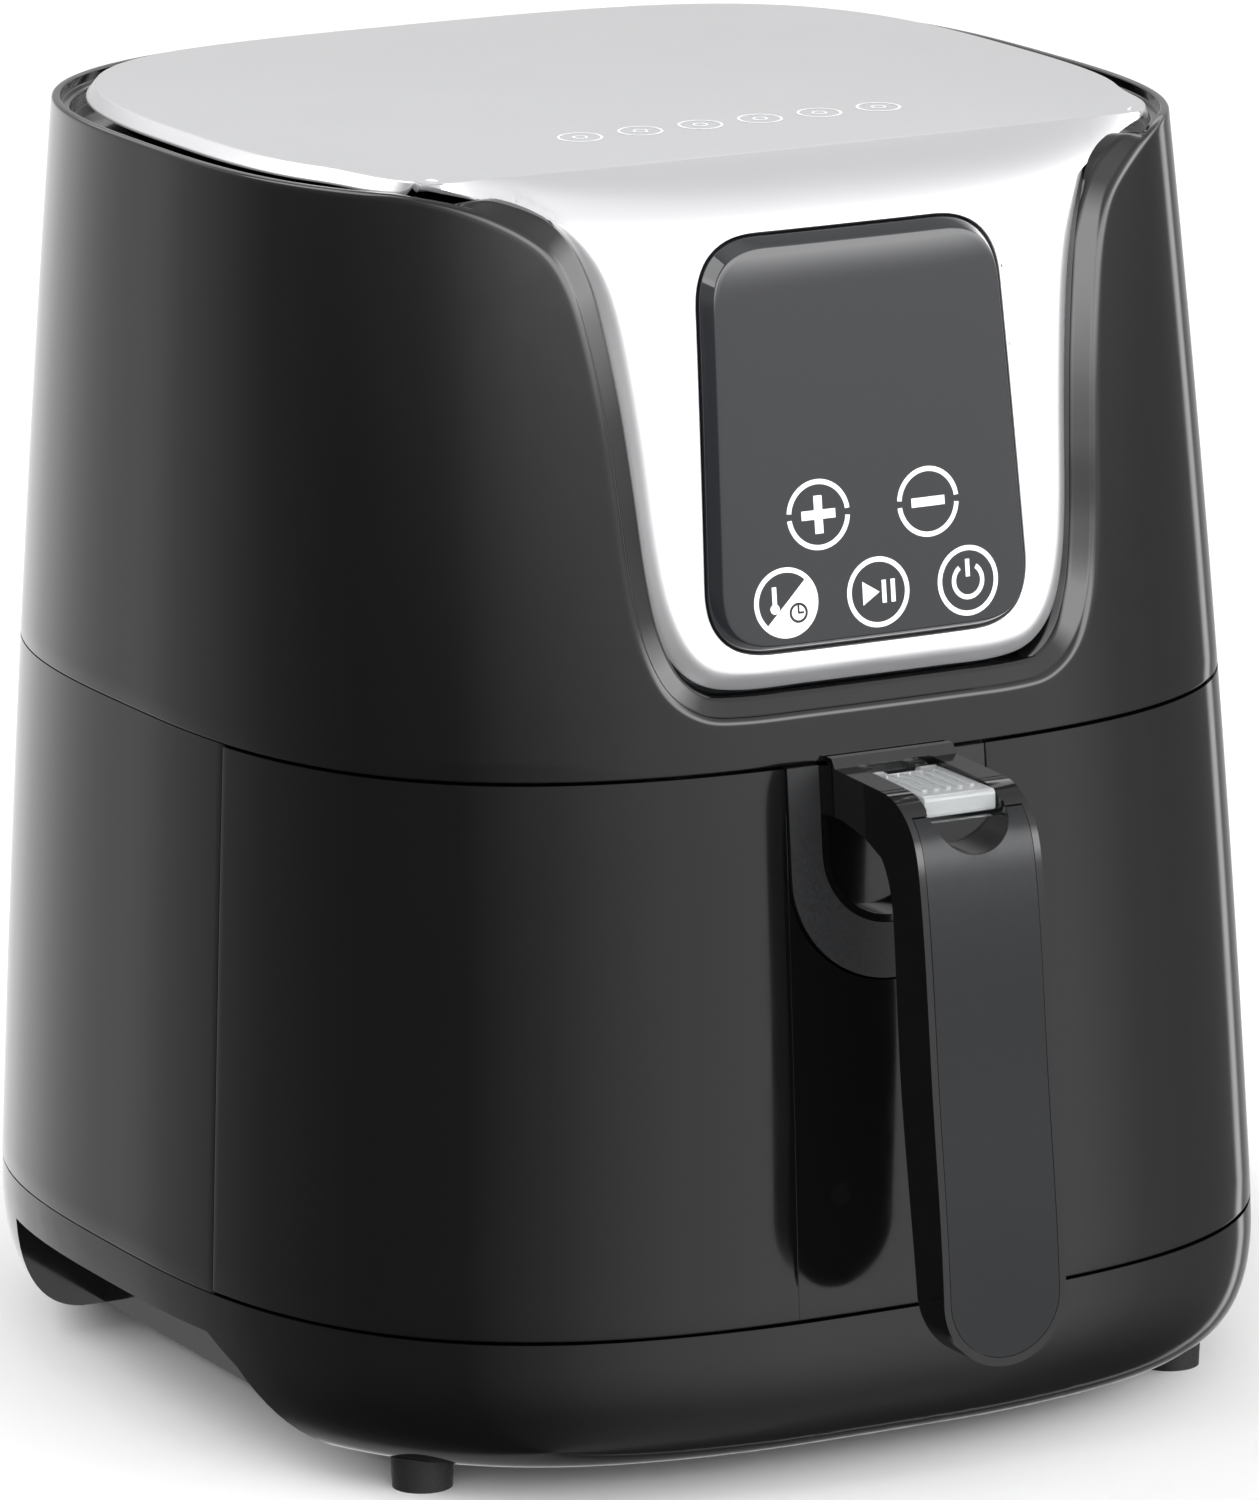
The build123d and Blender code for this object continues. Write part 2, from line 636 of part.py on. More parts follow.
# ---- drawer -------------------------------------------------------------------------------------
def drawer_guides():
    rails = []
    for side in (-1, 1):
        x = side * GUIDE_X
        rail = block(x - 3, x + 3, -100, 96, DECK_Z[1], PAN_Z[0] - 0.4)
        rails.append(rail)
    return Compound(children=rails)


def front_form(inset):
    low = SEAM_LOW + SEAM_GAP
    high = SEAM_HIGH - SEAM_GAP / 2
    return skin(inset, low, high) & block(-150, 150, -150, SIDE_SEAM - SEAM_GAP, 0, 200)


def drawer_front():
    low = SEAM_LOW + SEAM_GAP
    form = front_form(0) - skin(WALL, low - 1, 170)
    form -= u_prism(PLATE_HALF + 0.5, PLATE_LOW - 0.5, 175, -150, -100)
    for x, z in liner_screw_places():
        boss = rod_y(4, -100, SIDE_SEAM - SEAM_GAP - 4, x, z) & skin(1, low - 1, 170)
        form += boss - rod_y(1.4, -66, -50, x, z)
    return form


def liner_screw_places():
    return [(sx * 117, z) for sx in (-1, 1) for z in (62, 148)]


def drawer_liner():
    """Closes the drawer front behind: a rim on top, a foot strip and the two rear-facing webs."""
    region = front_form(WALL + 0.2) - tub(PAN_X, PAN_Y, (30, 180), PAN_R, grow=0.6)
    region -= block(-PLATE_HALF - 2, PLATE_HALF + 2, -150, -100, 100, 200)
    y = SIDE_SEAM - SEAM_GAP
    slabs = block(-150, 150, -150, y, 160, 162.5) + block(-150, 150, -150, y, 42, 44.5)
    slabs += block(-150, 150, y - 2.2, y, 42, 162.5)
    liner = region & slabs
    for x, z in liner_screw_places():
        liner -= rod_y(1.8, -60, -40, x, z) + rod_y(3.4, y - 1.1, -40, x, z)
    return liner


def screw_y(x, y, z, length):
    """A pan-head screw along Y whose head faces the back."""
    return rod_y(1.35, y - length, y, x, z) + rod_y(3.1, y - 0.9, y, x, z)


def liner_screws():
    y = SIDE_SEAM - SEAM_GAP - 0.1
    return Compound(children=[screw_y(x, y, z, 11) for x, z in liner_screw_places()])


def pan():
    outer = tub(PAN_X, PAN_Y, PAN_Z, PAN_R, PAN_DRAFT)
    inner = tub(PAN_X - PAN_T, (PAN_Y[0] + PAN_T, PAN_Y[1] - PAN_T), (PAN_Z[0] + PAN_T, PAN_Z[1]),
                PAN_R - PAN_T, PAN_DRAFT)
    flange = tub(PAN_X, PAN_Y, (PAN_Z[1] - PAN_T, PAN_Z[1]), PAN_R, grow=PAN_FLANGE)
    form = outer + flange - inner
    form -= tub(PAN_X - PAN_T, (PAN_Y[0] + PAN_T, PAN_Y[1] - PAN_T), (PAN_Z[1] - 2, PAN_Z[1] + 1), PAN_R - PAN_T)
    form -= block(-21, 21, -130, -100, 124, 170)
    for row in range(4):
        bead = Pos(0, -45 + 30 * row, PAN_Z[0] + PAN_T - 0.02) * Box(120, 8, 1.6)
        form += fillet(bead.edges().group_by(Axis.Z)[-1], 1.2)
    return form


def pan_catch():
    """The ledge on the pan's front that the latch hooks under."""
    y = PAN_Y[0] + 2.0
    plate = block(-20, 20, y - 4.6, y - 3.4, 112, CATCH_Z + 4)
    ledge = block(-9, 9, HOOK_Y[1] + 0.4, y - 3.5, CATCH_Z, CATCH_Z + 2)
    return plate + ledge


def basket():
    outer = tub(BASKET_X, BASKET_Y, BASKET_Z, BASKET_R, BASKET_DRAFT)
    inner = tub(BASKET_X - SHEET, (BASKET_Y[0] + SHEET, BASKET_Y[1] - SHEET), BASKET_Z, BASKET_R - SHEET,
                BASKET_DRAFT)
    form = outer - inner
    rolled = tub(BASKET_X, BASKET_Y, (BASKET_Z[1] - 1.2, BASKET_Z[1]), BASKET_R, grow=2)
    form += rolled - tub(BASKET_X - SHEET, (BASKET_Y[0] + SHEET, BASKET_Y[1] - SHEET), (150, 160), BASKET_R - SHEET)
    shelf = tub(BASKET_X - BASKET_DRAFT - 0.5, (BASKET_Y[0] + BASKET_DRAFT + 0.5, BASKET_Y[1] - BASKET_DRAFT - 0.5),
                (BASKET_Z[0], BASKET_Z[0] + 1), BASKET_R - BASKET_DRAFT)
    shelf -= tub(BASKET_X - 15, (BASKET_Y[0] + 15, BASKET_Y[1] - 15), (50, 70), BASKET_R - 12)
    form += shelf
    slots = []
    for z in (80, 100, 120):
        for x in range(-45, 46, 15):
            slots.append(Pos(x, BASKET_Y[1], z) * Box(6, 24, 10))
            if abs(x) > 20:
                slots.append(Pos(x, BASKET_Y[0], z) * Box(6, 24, 10))
        for y in range(-50, 41, 15):
            slots.append(Pos(0, y, z) * Box(2 * BASKET_X + 20, 6, 10))
    return form - slots


def crisper_plate():
    low = BASKET_Z[0] + 1.02
    plate = tub(BASKET_X - 10, (BASKET_Y[0] + 10, BASKET_Y[1] - 10), (low, low + 1.2), BASKET_R - 8)
    holes = []
    for ix in range(-5, 6):
        for iy in range(-6, 7):
            x, y = 13.5 * ix, 13.5 * iy - 5
            if abs(ix) + abs(iy) < 10:
                holes.append(rod_z(4.2, low - 2, low + 3, x, y))
    return plate - holes


def basket_pads():
    pads = []
    z = 140.0
    for side in (-1, 1):
        for y in (-50, 40):
            x = side * (BASKET_X - 0.9)
            pads.append(block(min(x, x + side * 5.5), max(x, x + side * 5.5), y - 7, y + 7, z - 4, z + 4)
                        - tub(BASKET_X, BASKET_Y, BASKET_Z, BASKET_R, BASKET_DRAFT))
    return Compound(children=pads)


def basket_bracket():
    """A bent steel strap from the basket's front wall to the handle."""
    y_front = BOWL_Y[1] + 0.05
    y_wall = BASKET_Y[0] - 0.05
    lower = block(-14, 14, y_wall - 1.6, y_wall, 126, 154)
    bridge = block(-14, 14, y_front, y_wall, 152.4, 154)
    upper = block(-15.5, 15.5, y_front, y_front + 1.6, 152.4, 165)
    strap = lower + bridge + upper - block(-5.5, 5.5, -150, -119, 140, 170)
    for sx in (-1, 1):
        strap -= rod_y(1.7, -140, -120, sx * STRAP_SCREW[0], STRAP_SCREW[1])
    for x, z in rivet_places():
        strap -= rod_y(2, -115, -100, x, z)
    return strap


def rivet_places():
    return [(sx * 9, z) for sx in (-1, 1) for z in (131, 146)]


def bracket_rivets():
    y = BASKET_Y[0]
    pins = []
    for x, z in rivet_places():
        pins.append(rod_y(2, y - 1.7, y + SHEET + 3.2, x, z) + rod_y(3.4, y - 2.9, y - 1.65, x, z))
    return Compound(children=pins) - tub(BASKET_X, BASKET_Y, BASKET_Z, BASKET_R, BASKET_DRAFT)


# ---- handle -------------------------------------------------------------------------------------
def handle_plate():
    plate = skin(0, 112, SEAM_HIGH - SEAM_GAP / 2) - skin(WALL, 111, 170)
    plate &= u_prism(PLATE_HALF, PLATE_LOW, 175, -150, -100)
    return plate - u_prism(BOWL_HALF, BOWL_LOW, 175, -150, -100)


def handle_bracket():
    """The neck with its cheeks, and the bowl behind the handle plate that it grows out of."""
    neck = side_prism(NECK_SIDE, -GRIP_HALF, GRIP_HALF)
    bowl = u_prism(BOWL_HALF - 0.2, BOWL_LOW + 0.2, 168.2, -137.5, BOWL_Y[0] + TOUCH)
    bowl -= u_prism(BOWL_HALF - 1.8, BOWL_LOW + 1.8, 180, -140, -120)
    bowl &= skin(0.4, 125, 168.2)
    form = neck + bowl + u_prism(24.6, 118.6, 168.2, *BOWL_Y)
    hinge_y = COVER_HINGE[0] + 2.6
    form -= block(-COVER_HALF - 0.5, COVER_HALF + 0.5, -170, hinge_y, 161.9, 175)
    form -= block(-WELL_HALF, WELL_HALF, -170, BUTTON_Y[1] + 0.4, WELL_FLOOR, 175)
    form -= block(-3.1, 3.1, NECK_FRONT - 0.1, -120, 152, LEVER_TOP + 1.4)
    form -= rod_x(COVER_PIN_R, -12, 12, *COVER_HINGE)
    form -= rod_x(LEVER_PIN_R, -10, 10, *LEVER_PIVOT)
    for sx in (-1, 1):
        form -= rod_y(1.2, -143, -120, sx * STRAP_SCREW[0], STRAP_SCREW[1])
    return form


def grip_slab(front, back):
    """The grip between its front curve and its back curve, each moved in by the given depths."""
    face = Spline(*[(0, y + front, z) for y, z in GRIP_FACE])
    rear = Spline(*[(0, y - back, z) for y, z in GRIP_BACK])
    outline = make_face([face, rear, Line(face @ 0, rear @ 0), Line(face @ 1, rear @ 1)])
    return extrude(outline, amount=20, both=True, dir=(1, 0, 0))


def face_slab(depth, thick):
    """A layer of the grip's front, starting at this depth."""
    outer = Spline(*[(0, y + depth, z) for y, z in GRIP_FACE[1:]])
    inner = Spline(*[(0, y + depth + thick, z) for y, z in GRIP_FACE[1:]])
    outline = make_face([outer, inner, Line(outer @ 0, inner @ 0), Line(outer @ 1, inner @ 1)])
    return extrude(outline, amount=20, both=True, dir=(1, 0, 0))


def back_slab(depth, thick):
    """A layer of the grip's back, starting at this depth."""
    outer = Spline(*[(0, y - depth, z) for y, z in GRIP_BACK[1:]])
    inner = Spline(*[(0, y - depth - thick, z) for y, z in GRIP_BACK[1:]])
    outline = make_face([outer, inner, Line(outer @ 0, inner @ 0), Line(outer @ 1, inner @ 1)])
    return extrude(outline, amount=20, both=True, dir=(1, 0, 0))


def finger_dish():
    return rod_y(10.0, -200, -170.0, 0, 164.5)


def cover_slot():
    return block(-COVER_HALF - 0.5, COVER_HALF + 0.5, -200, -150, 161.2, 175)


def grip_screw_heights():
    return (62.0, 126.0)


def handle_core():
    core = grip_slab(0, 0) & u_prism(GRIP_HALF, GRIP_TIP, 175, -200, -150)
    core -= face_slab(-1, 1 + FACE_T) & u_prism(FACE_HALF + 0.15, GRIP_TIP + 2.0, 163.5, -200, -150)
    core -= back_slab(-1, 1 + FACE_T) & u_prism(12.6, GRIP_TIP + 6, 134, -200, -150)
    core -= grip_slab(3.6, 3.2) & u_prism(11.0, GRIP_TIP + 9, 132, -200, -150)
    core -= finger_dish() + cover_slot()
    for z in grip_screw_heights():
        core += rod_y(3.5, -184, -168, 0, z) & grip_slab(3.5, 2.4)
        core -= rod_y(1.3, back_surface(z) - 9, -160, 0, z)
    return core


def handle_face():
    plate = face_slab(0, FACE_T) & u_prism(FACE_HALF, GRIP_TIP + 2.15, 163.2, -200, -150)
    return plate - finger_dish() - cover_slot()


def handle_back():
    plate = back_slab(0, FACE_T - 0.05) & u_prism(12.4, GRIP_TIP + 6.2, 133.8, -200, -150)
    for z in grip_screw_heights():
        plate -= rod_y(1.6, -190, -150, 0, z)
    return plate


def handle_screws():
    screws = []
    for sx in (-1, 1):
        x, z = sx * STRAP_SCREW[0], STRAP_SCREW[1]
        screws.append(rod_y(1.15, -141, BOWL_Y[1] + 1.7, x, z) + rod_y(2.8, BOWL_Y[1] + 1.7, BOWL_Y[1] + 3.4, x, z))
    for z in grip_screw_heights():
        y = back_surface(z)
        screws.append(rod_y(1.25, y - 8, y + 0.4, 0, z) + rod_y(2.8, y + 0.38, y + 1.4, 0, z))
    return Compound(children=screws)


def back_surface(z):
    """y of the grip's back at height z, straight between the points of its curve."""
    for (y0, z0), (y1, z1) in zip(GRIP_BACK, GRIP_BACK[1:]):
        if z1 <= z <= z0:
            return y0 + (y1 - y0) * (z0 - z) / (z0 - z1)
    raise ValueError("height outside the grip")


def handle_pins():
    cover_pin = rod_x(COVER_PIN_R, -11.9, 11.9, *COVER_HINGE)
    lever_pin = rod_x(LEVER_PIN_R, -9.9, 9.9, *LEVER_PIVOT)
    return Compound(children=[cover_pin, lever_pin])


def release_cover():
    y, z = COVER_HINGE
    plate = block(-COVER_HALF, COVER_HALF, COVER_FRONT + 0.8, y - 1.2, *COVER_Z)
    lip = block(-COVER_HALF, COVER_HALF, COVER_FRONT, COVER_FRONT + 3, 161.9, COVER_Z[1])
    lip = fillet(lip.edges().filter_by(Axis.X).group_by(Axis.Y)[0], 1.2)
    cover = plate + lip
    for side in (-1, 1):
        cover += rod_x(KNUCKLE_R, min(side * 4.6, side * 8.9), max(side * 4.6, side * 8.9), y, z)
    cover -= rod_x(COVER_PIN_R + 0.05, -20, 20, y, z)
    cover -= block(-4.6, 4.6, y - 2.6, y + 5, 150, 175)
    for k in range(-2, 3):
        rib = block(3 * k - 0.6, 3 * k + 0.6, -163, -146, COVER_Z[1] - 0.1, COVER_Z[1] + 0.5)
        cover += rib
    return cover


def release_button():
    plate = block(-BUTTON_HALF, BUTTON_HALF, *BUTTON_Y, *BUTTON_Z)
    plate = fillet(plate.edges().group_by(Axis.Z)[-1], 0.6)
    return plate + rod_z(1.6, LEVER_TOP + 0.5, BUTTON_Z[0] + 0.1, 0, STEM_Y)


def button_springs():
    springs = []
    for sx in (-1, 1):
        turns = Helix(pitch=0.8, height=2.4, radius=1.5)
        wire = sweep(Plane(turns @ 0, z_dir=turns % 0) * Circle(0.25), path=turns)
        springs.append(Pos(sx * SPRING_XY[0], SPRING_XY[1], WELL_FLOOR + 0.3) * wire)
    return Compound(children=springs)


def latch_lever():
    y, z = LEVER_PIVOT
    low = LEVER_TOP - 1.6
    arm = block(-LEVER_HALF, LEVER_HALF, y, HOOK_Y[1], low, LEVER_TOP)
    drop = block(-LEVER_HALF, LEVER_HALF, *HOOK_Y, HOOK_Z[0], LEVER_TOP)
    tip = block(-LEVER_HALF, LEVER_HALF, HOOK_Y[0], HOOK_Y[1] + 2.2, *HOOK_Z)
    lever = arm + drop + tip + rod_x(2.1, -LEVER_HALF, LEVER_HALF, y, z)
    return lever - rod_x(LEVER_PIN_R + 0.05, -20, 20, y, z)


# ---- fasteners of the casing --------------------------------------------------------------------
def screw_z(x, y, z, length, head_up):
    """A pan-head screw along Z with its head seated at z."""
    way = -1 if head_up else 1
    shank = rod_z(1.45, min(z, z + way * length), max(z, z + way * length), x, y)
    head = rod_z(3.4, min(z, z - way * 2.2), max(z, z - way * 2.2), x, y)
    return shank + head


def base_screws():
    return Compound(children=[screw_z(x, y, 12.95, 15, False) for x, y in base_screw_places()])


def housing_screws():
    seat = SEAM_HIGH + SEAM_GAP / 2 - 3.05
    return Compound(children=[screw_z(x, y, seat, 12, False) for x, y in housing_screw_places()])


PIECES = {
    "upper_housing": upper_housing, "lower_housing": lower_housing, "base": base, "base_deck": base_deck,
    "top_panel": top_panel, "control_glass": control_glass, "display_tray": display_tray,
    "control_board": control_board, "display_module": display_module, "touch_springs": touch_springs,
    "rear_grille": rear_grille, "exhaust_duct": exhaust_duct, "cord_gland": cord_gland,
    "cooking_chamber": cooking_chamber, "heating_element": heating_element, "element_clips": element_clips,
    "element_guard": element_guard, "heat_shield": heat_shield, "thermal_fuse": thermal_fuse,
    "temperature_sensor": temperature_sensor, "motor_shaft": motor_shaft, "convection_fan": convection_fan,
    "cooling_fan": cooling_fan, "fan_nut": fan_nut, "motor_rotor": motor_rotor, "motor_frame": motor_frame,
    "motor_stator": motor_stator, "motor_coil": motor_coil, "motor_bearings": motor_bearings,
    "motor_screws": motor_screws, "power_board": power_board, "board_parts": board_parts,
    "interlock_switch": interlock_switch, "interlock_plunger": interlock_plunger,
    "drawer_guides": drawer_guides, "drawer_front": drawer_front, "drawer_liner": drawer_liner,
    "liner_screws": liner_screws, "pan": pan, "pan_catch": pan_catch, "basket": basket,
    "crisper_plate": crisper_plate, "basket_pads": basket_pads, "basket_bracket": basket_bracket,
    "bracket_rivets": bracket_rivets, "handle_plate": handle_plate, "handle_bracket": handle_bracket,
    "handle_core": handle_core, "handle_face": handle_face, "handle_back": handle_back,
    "handle_screws": handle_screws, "handle_pins": handle_pins,
    "release_cover": release_cover, "release_button": release_button, "button_springs": button_springs,
    "latch_lever": latch_lever, "base_screws": base_screws, "housing_screws": housing_screws,
    "motor_brackets": motor_brackets, "rubber_feet": rubber_feet,
}

FEET = [(-1, -1), (1, -1), (-1, 1), (1, 1)]


def main():
    os.makedirs("parts", exist_ok=True)
    for name, make in PIECES.items():
        save(name, make())


if __name__ == "__main__":
    main()
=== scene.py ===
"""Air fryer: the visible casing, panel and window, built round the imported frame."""
import bmesh
import bpy
import numpy as np
from mathutils import Matrix, Vector


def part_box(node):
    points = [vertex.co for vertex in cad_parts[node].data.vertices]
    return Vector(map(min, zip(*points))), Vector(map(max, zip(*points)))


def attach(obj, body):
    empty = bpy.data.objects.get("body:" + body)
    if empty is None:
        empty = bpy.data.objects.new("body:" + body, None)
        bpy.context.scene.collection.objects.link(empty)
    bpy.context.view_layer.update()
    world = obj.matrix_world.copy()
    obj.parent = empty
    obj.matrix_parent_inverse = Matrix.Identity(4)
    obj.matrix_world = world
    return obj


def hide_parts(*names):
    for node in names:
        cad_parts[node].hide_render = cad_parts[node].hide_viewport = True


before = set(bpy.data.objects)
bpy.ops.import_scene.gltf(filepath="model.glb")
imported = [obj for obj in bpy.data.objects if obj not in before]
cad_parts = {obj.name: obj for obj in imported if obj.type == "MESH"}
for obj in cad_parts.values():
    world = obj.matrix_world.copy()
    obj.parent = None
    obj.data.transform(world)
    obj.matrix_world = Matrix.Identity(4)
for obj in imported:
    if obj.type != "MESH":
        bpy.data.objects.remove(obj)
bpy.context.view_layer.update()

bl_info = {
    "name": "Air fryer pieces",
    "version": (1, 0, 0),
    "blender": (4, 5, 0),
    "location": "View3D > Sidebar > Air fryer",
    "description": "Builds the casing, control panel, drawer front and handle of a drawer air fryer",
    "category": "Object",
}

MM = 0.001


def place(node, corner, axis):
    """One coordinate of a CAD node's box in millimetres; corner 0 is the lowest and 1 the highest."""
    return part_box(node)[corner][axis] / MM


# ---- places taken from the frame, in millimetres ------------------------------------------------------
MID_Y = (place("upper_housing", 0, 1) + place("upper_housing", 1, 1)) / 2
HALF_WIDTH = place("lower_housing", 1, 0)
HALF_DEPTH = place("lower_housing", 1, 1) - MID_Y
SEAM_LOW = place("lower_housing", 0, 2)
FRONT_LOW = place("drawer_front", 0, 2)
FRONT_HIGH = place("drawer_front", 1, 2)
FRONT_REAR = place("drawer_front", 1, 1) - MID_Y
SIDE_SEAM = place("lower_housing", 0, 1) - MID_Y
LOWER_HIGH = place("lower_housing", 1, 2)
UPPER_LOW = place("upper_housing", 0, 2)
RIM = place("upper_housing", 1, 2)
CROWN = place("top_panel", 1, 2)
PLATE_HALF = place("handle_plate", 1, 0)
PLATE_LOW = place("handle_plate", 0, 2)

# ---- form of the casing -------------------------------------------------------------------------------
# change of the half width and half depth with height above the seam: linear and square terms
WIDTH_TAPER = (-0.0505, -3.13e-5)
DEPTH_TAPER = (-0.0271, -2.198e-4)
PLAN_POWER = 2.95
BEARING_R = 140.0         # a bearing round the casing is given as a length at this radius
WALL = 2.8
FASCIA_INSET = 3.2
PANEL_INSET = 7.5
EDGE_DROP = 2.7           # outer edge of the panel, below its face
CREASE_Y = -94.0
CREASE_Z = 302.2
CREST_Y = 20.0
SHOULDER_LOW = 262.0
DRAWER_MIDDLE = 105.0
SHOULDER_POWER = 7.0
# edge of the casing's opening on the right side, in the front view
OPENING = [(100, 300), (92, 298.5), (84.5, 295.4), (77.5, 291.4), (72.2, 286.4), (68.6, 278), (66.2, 266),
           (64, 250), (62.4, 232), (61, 214), (58.6, 199), (53.6, 187.6), (45.5, 181.4), (36, 180), (18, 180)]
# edge of the panel on the right side: ahead of the lid in plan, the crease's end, then down the fascia
CORNER_X = 94.2
TONGUE = [(100.8, -77.5), (97.6, -84.5)]
TONGUE_FRONT = [(90.4, 300), (86, 298.9), (78.8, 296.8), (73.2, 294), (69.2, 290.4), (65.8, 285.5),
                (62.8, 278.4), (60.6, 269), (59, 257), (57.4, 240), (56, 220), (54, 206), (49.8, 195),
                (43, 188.2), (33, 186), (16, 186)]
# corner points of the window in the front view, and the radius of its corners
GLASS_TOP = (37.8, 287.6)
GLASS_LOW = (41.2, 194.6)
GLASS_R = 11.0
GLASS_RISE = 3.4
GLASS_SLOPE = 1.9
GLASS_BACK = 3.4          # window's back face, behind the fascia
CUT_OUT_DEPTH = 2.4
INK = 0.06                # height of the print above its ground
LID_SIDE = 302.2
LID_RINGS_Y = -62.0
LID_RINGS_STEP = 15.5
# middles of the five touch keys in the front view: plus, minus, timer, start, power
KEYS = [(-14.1, 225.0), (14.1, 225.0), (-23.4, 206.0), (0.0, 206.0), (23.4, 206.0)]


# ---- colours ------------------------------------------------------------------------------------------
def linear(code):
    """Linear RGBA of an sRGB hex colour."""
    s = np.array([int(code[k:k + 2], 16) for k in (1, 3, 5)]) / 255
    rgb = np.where(s <= 0.04045, s / 12.92, ((s + 0.055) / 1.055) ** 2.4)
    return (*(float(c) for c in rgb), 1.0)


# ---- surfaces -----------------------------------------------------------------------------------------
def half_size(z):
    """Half the casing's width and half its depth at a height."""
    h = z - SEAM_LOW
    a = HALF_WIDTH + WIDTH_TAPER[0] * h + WIDTH_TAPER[1] * h * h
    b = HALF_DEPTH + DEPTH_TAPER[0] * h + DEPTH_TAPER[1] * h * h
    return a, b


def casing(u, z, inset=0.0):
    """The casing's skin: |x/a|^n + |y/b|^n = 1 in plan, at bearing u / BEARING_R from the front's middle,
    with the half sizes a and b falling with height z and both less the inset."""
    a, b = half_size(z)
    s, c = np.sin(u / BEARING_R), np.cos(u / BEARING_R)
    total = (np.abs(s) / (a - inset)) ** PLAN_POWER + (np.abs(c) / (b - inset)) ** PLAN_POWER
    r = total ** (-1 / PLAN_POWER)
    return np.stack(np.broadcast_arrays(r * s, MID_Y - r * c, z), -1)


def front_y(x, z, inset=0.0):
    """y of the casing's front at x and z, measured from the casing's middle."""
    a, b = half_size(z)
    return -(b - inset) * (1 - np.minimum(np.abs(x) / (a - inset), 0.999) ** PLAN_POWER) ** (1 / PLAN_POWER)


def bearing(x, z):
    """Bearing of a point of the casing's front."""
    return BEARING_R * np.arctan2(x, -front_y(x, z))


def curve(points, step, soften=0.0):
    """A Catmull-Rom curve through the points, divided into even steps, then evened out over a length."""
    p = np.asarray(points, float)
    q = np.vstack([2 * p[0] - p[1], p, 2 * p[-1] - p[-2]])
    t = np.linspace(0, 1, 24, endpoint=False)[None, :, None]
    p0, p1, p2, p3 = (q[k:len(q) - 3 + k][:, None] for k in range(4))
    dense = 0.5 * (2 * p1 + (p2 - p0) * t + (2 * p0 - 5 * p1 + 4 * p2 - p3) * t ** 2
                   + (3 * p1 - p0 - 3 * p2 + p3) * t ** 3)
    dense = np.vstack([dense.reshape(-1, p.shape[1]), p[-1:]])
    return evened(dense, step, soften)


def evened(line, step, soften=0.0):
    """The same line with its points at even steps, smoothed by a moving average that keeps both ends."""
    length = np.concatenate([[0], np.cumsum(np.linalg.norm(np.diff(line, axis=0), axis=1))])
    count = max(2, int(round(length[-1] / step))) + 1
    at = np.linspace(0, length[-1], count)
    even = np.stack([np.interp(at, length, line[:, k]) for k in range(line.shape[1])], -1)
    reach = int(soften / step / 2)
    if reach:
        for _ in range(2):
            wide = np.vstack([2 * even[0] - even[reach:0:-1], even, 2 * even[-1] - even[-2:-reach - 2:-1]])
            kernel = np.ones(2 * reach + 1) / (2 * reach + 1)
            even = np.stack([np.convolve(wide[:, k], kernel, "valid") for k in range(line.shape[1])], -1)
    return even


def rounded(corners, radii, steps=5):
    """A profile through its corners, with each inner corner turned into a quadratic arc.
    corners is (corner, ..., 2); an arc starts and ends at its radius from the corner."""
    c = np.asarray(corners, float)
    rows = [c[:1]]
    for k, radius in enumerate(radii, 1):
        before, after = c[k - 1] - c[k], c[k + 1] - c[k]
        r0, r1 = (radius, radius) if np.isscalar(radius) else radius
        far0 = np.maximum(np.linalg.norm(before, axis=-1, keepdims=True), 1e-6)
        far1 = np.maximum(np.linalg.norm(after, axis=-1, keepdims=True), 1e-6)
        start = c[k] + before * np.minimum(r0 / far0, 0.49)
        end = c[k] + after * np.minimum(r1 / far1, 0.49)
        t = np.linspace(0, 1, steps + 1).reshape(-1, *[1] * (c.ndim - 1))
        rows.append((1 - t) ** 2 * start + 2 * t * (1 - t) * c[k] + t ** 2 * end)
    rows.append(c[-1:])
    return np.concatenate(rows)


def tangents(path, closed=False):
    """Unit vectors along a path."""
    if closed:
        d = np.roll(path, -1, 0) - np.roll(path, 1, 0)
    else:
        d = np.gradient(path, axis=0)
    return d / np.linalg.norm(d, axis=-1, keepdims=True)


def unit(v):
    return v / np.maximum(np.linalg.norm(v, axis=-1, keepdims=True), 1e-12)


def between(first, last, rows):
    """Rows of points from one line to another."""
    share = np.linspace(0, 1, rows).reshape(-1, *[1] * first.ndim)
    return first + (last - first) * share


# ---- meshes -------------------------------------------------------------------------------------------
def make_piece(name, grids, material, body, replaces=(), sharp=38.0, weld=0.004):
    """One object from grids of points in millimetres: each grid's neighbours make its faces,
    points that coincide are merged, and the faces are turned outwards."""
    points, faces, start = [], [], 0
    for grid, round_u in grids:
        rows, columns = grid.shape[:2]
        index = start + np.arange(rows * columns).reshape(rows, columns)
        if round_u:
            index = np.hstack([index, index[:, :1]])
        quads = np.stack([index[:-1, :-1], index[:-1, 1:], index[1:, 1:], index[1:, :-1]], -1)
        faces.append(quads.reshape(-1, 4))
        points.append(grid.reshape(-1, 3))
        start += rows * columns
    mesh = bpy.data.meshes.new(name)
    mesh.from_pydata(np.concatenate(points) * MM, [], np.concatenate(faces).tolist())
    work = bmesh.new()
    work.from_mesh(mesh)
    bmesh.ops.remove_doubles(work, verts=work.verts, dist=weld * MM)
    bmesh.ops.dissolve_degenerate(work, edges=work.edges, dist=weld * MM / 4)
    bmesh.ops.recalc_face_normals(work, faces=work.faces)
    work.to_mesh(mesh)
    work.free()
    mesh.shade_smooth()
    mesh.set_sharp_from_angle(angle=np.radians(sharp))
    mesh.materials.append(material)
    piece = bpy.data.objects.new(name, mesh)
    bpy.context.scene.collection.objects.link(piece)
    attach(piece, body)
    if replaces:
        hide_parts(*replaces)
    return piece


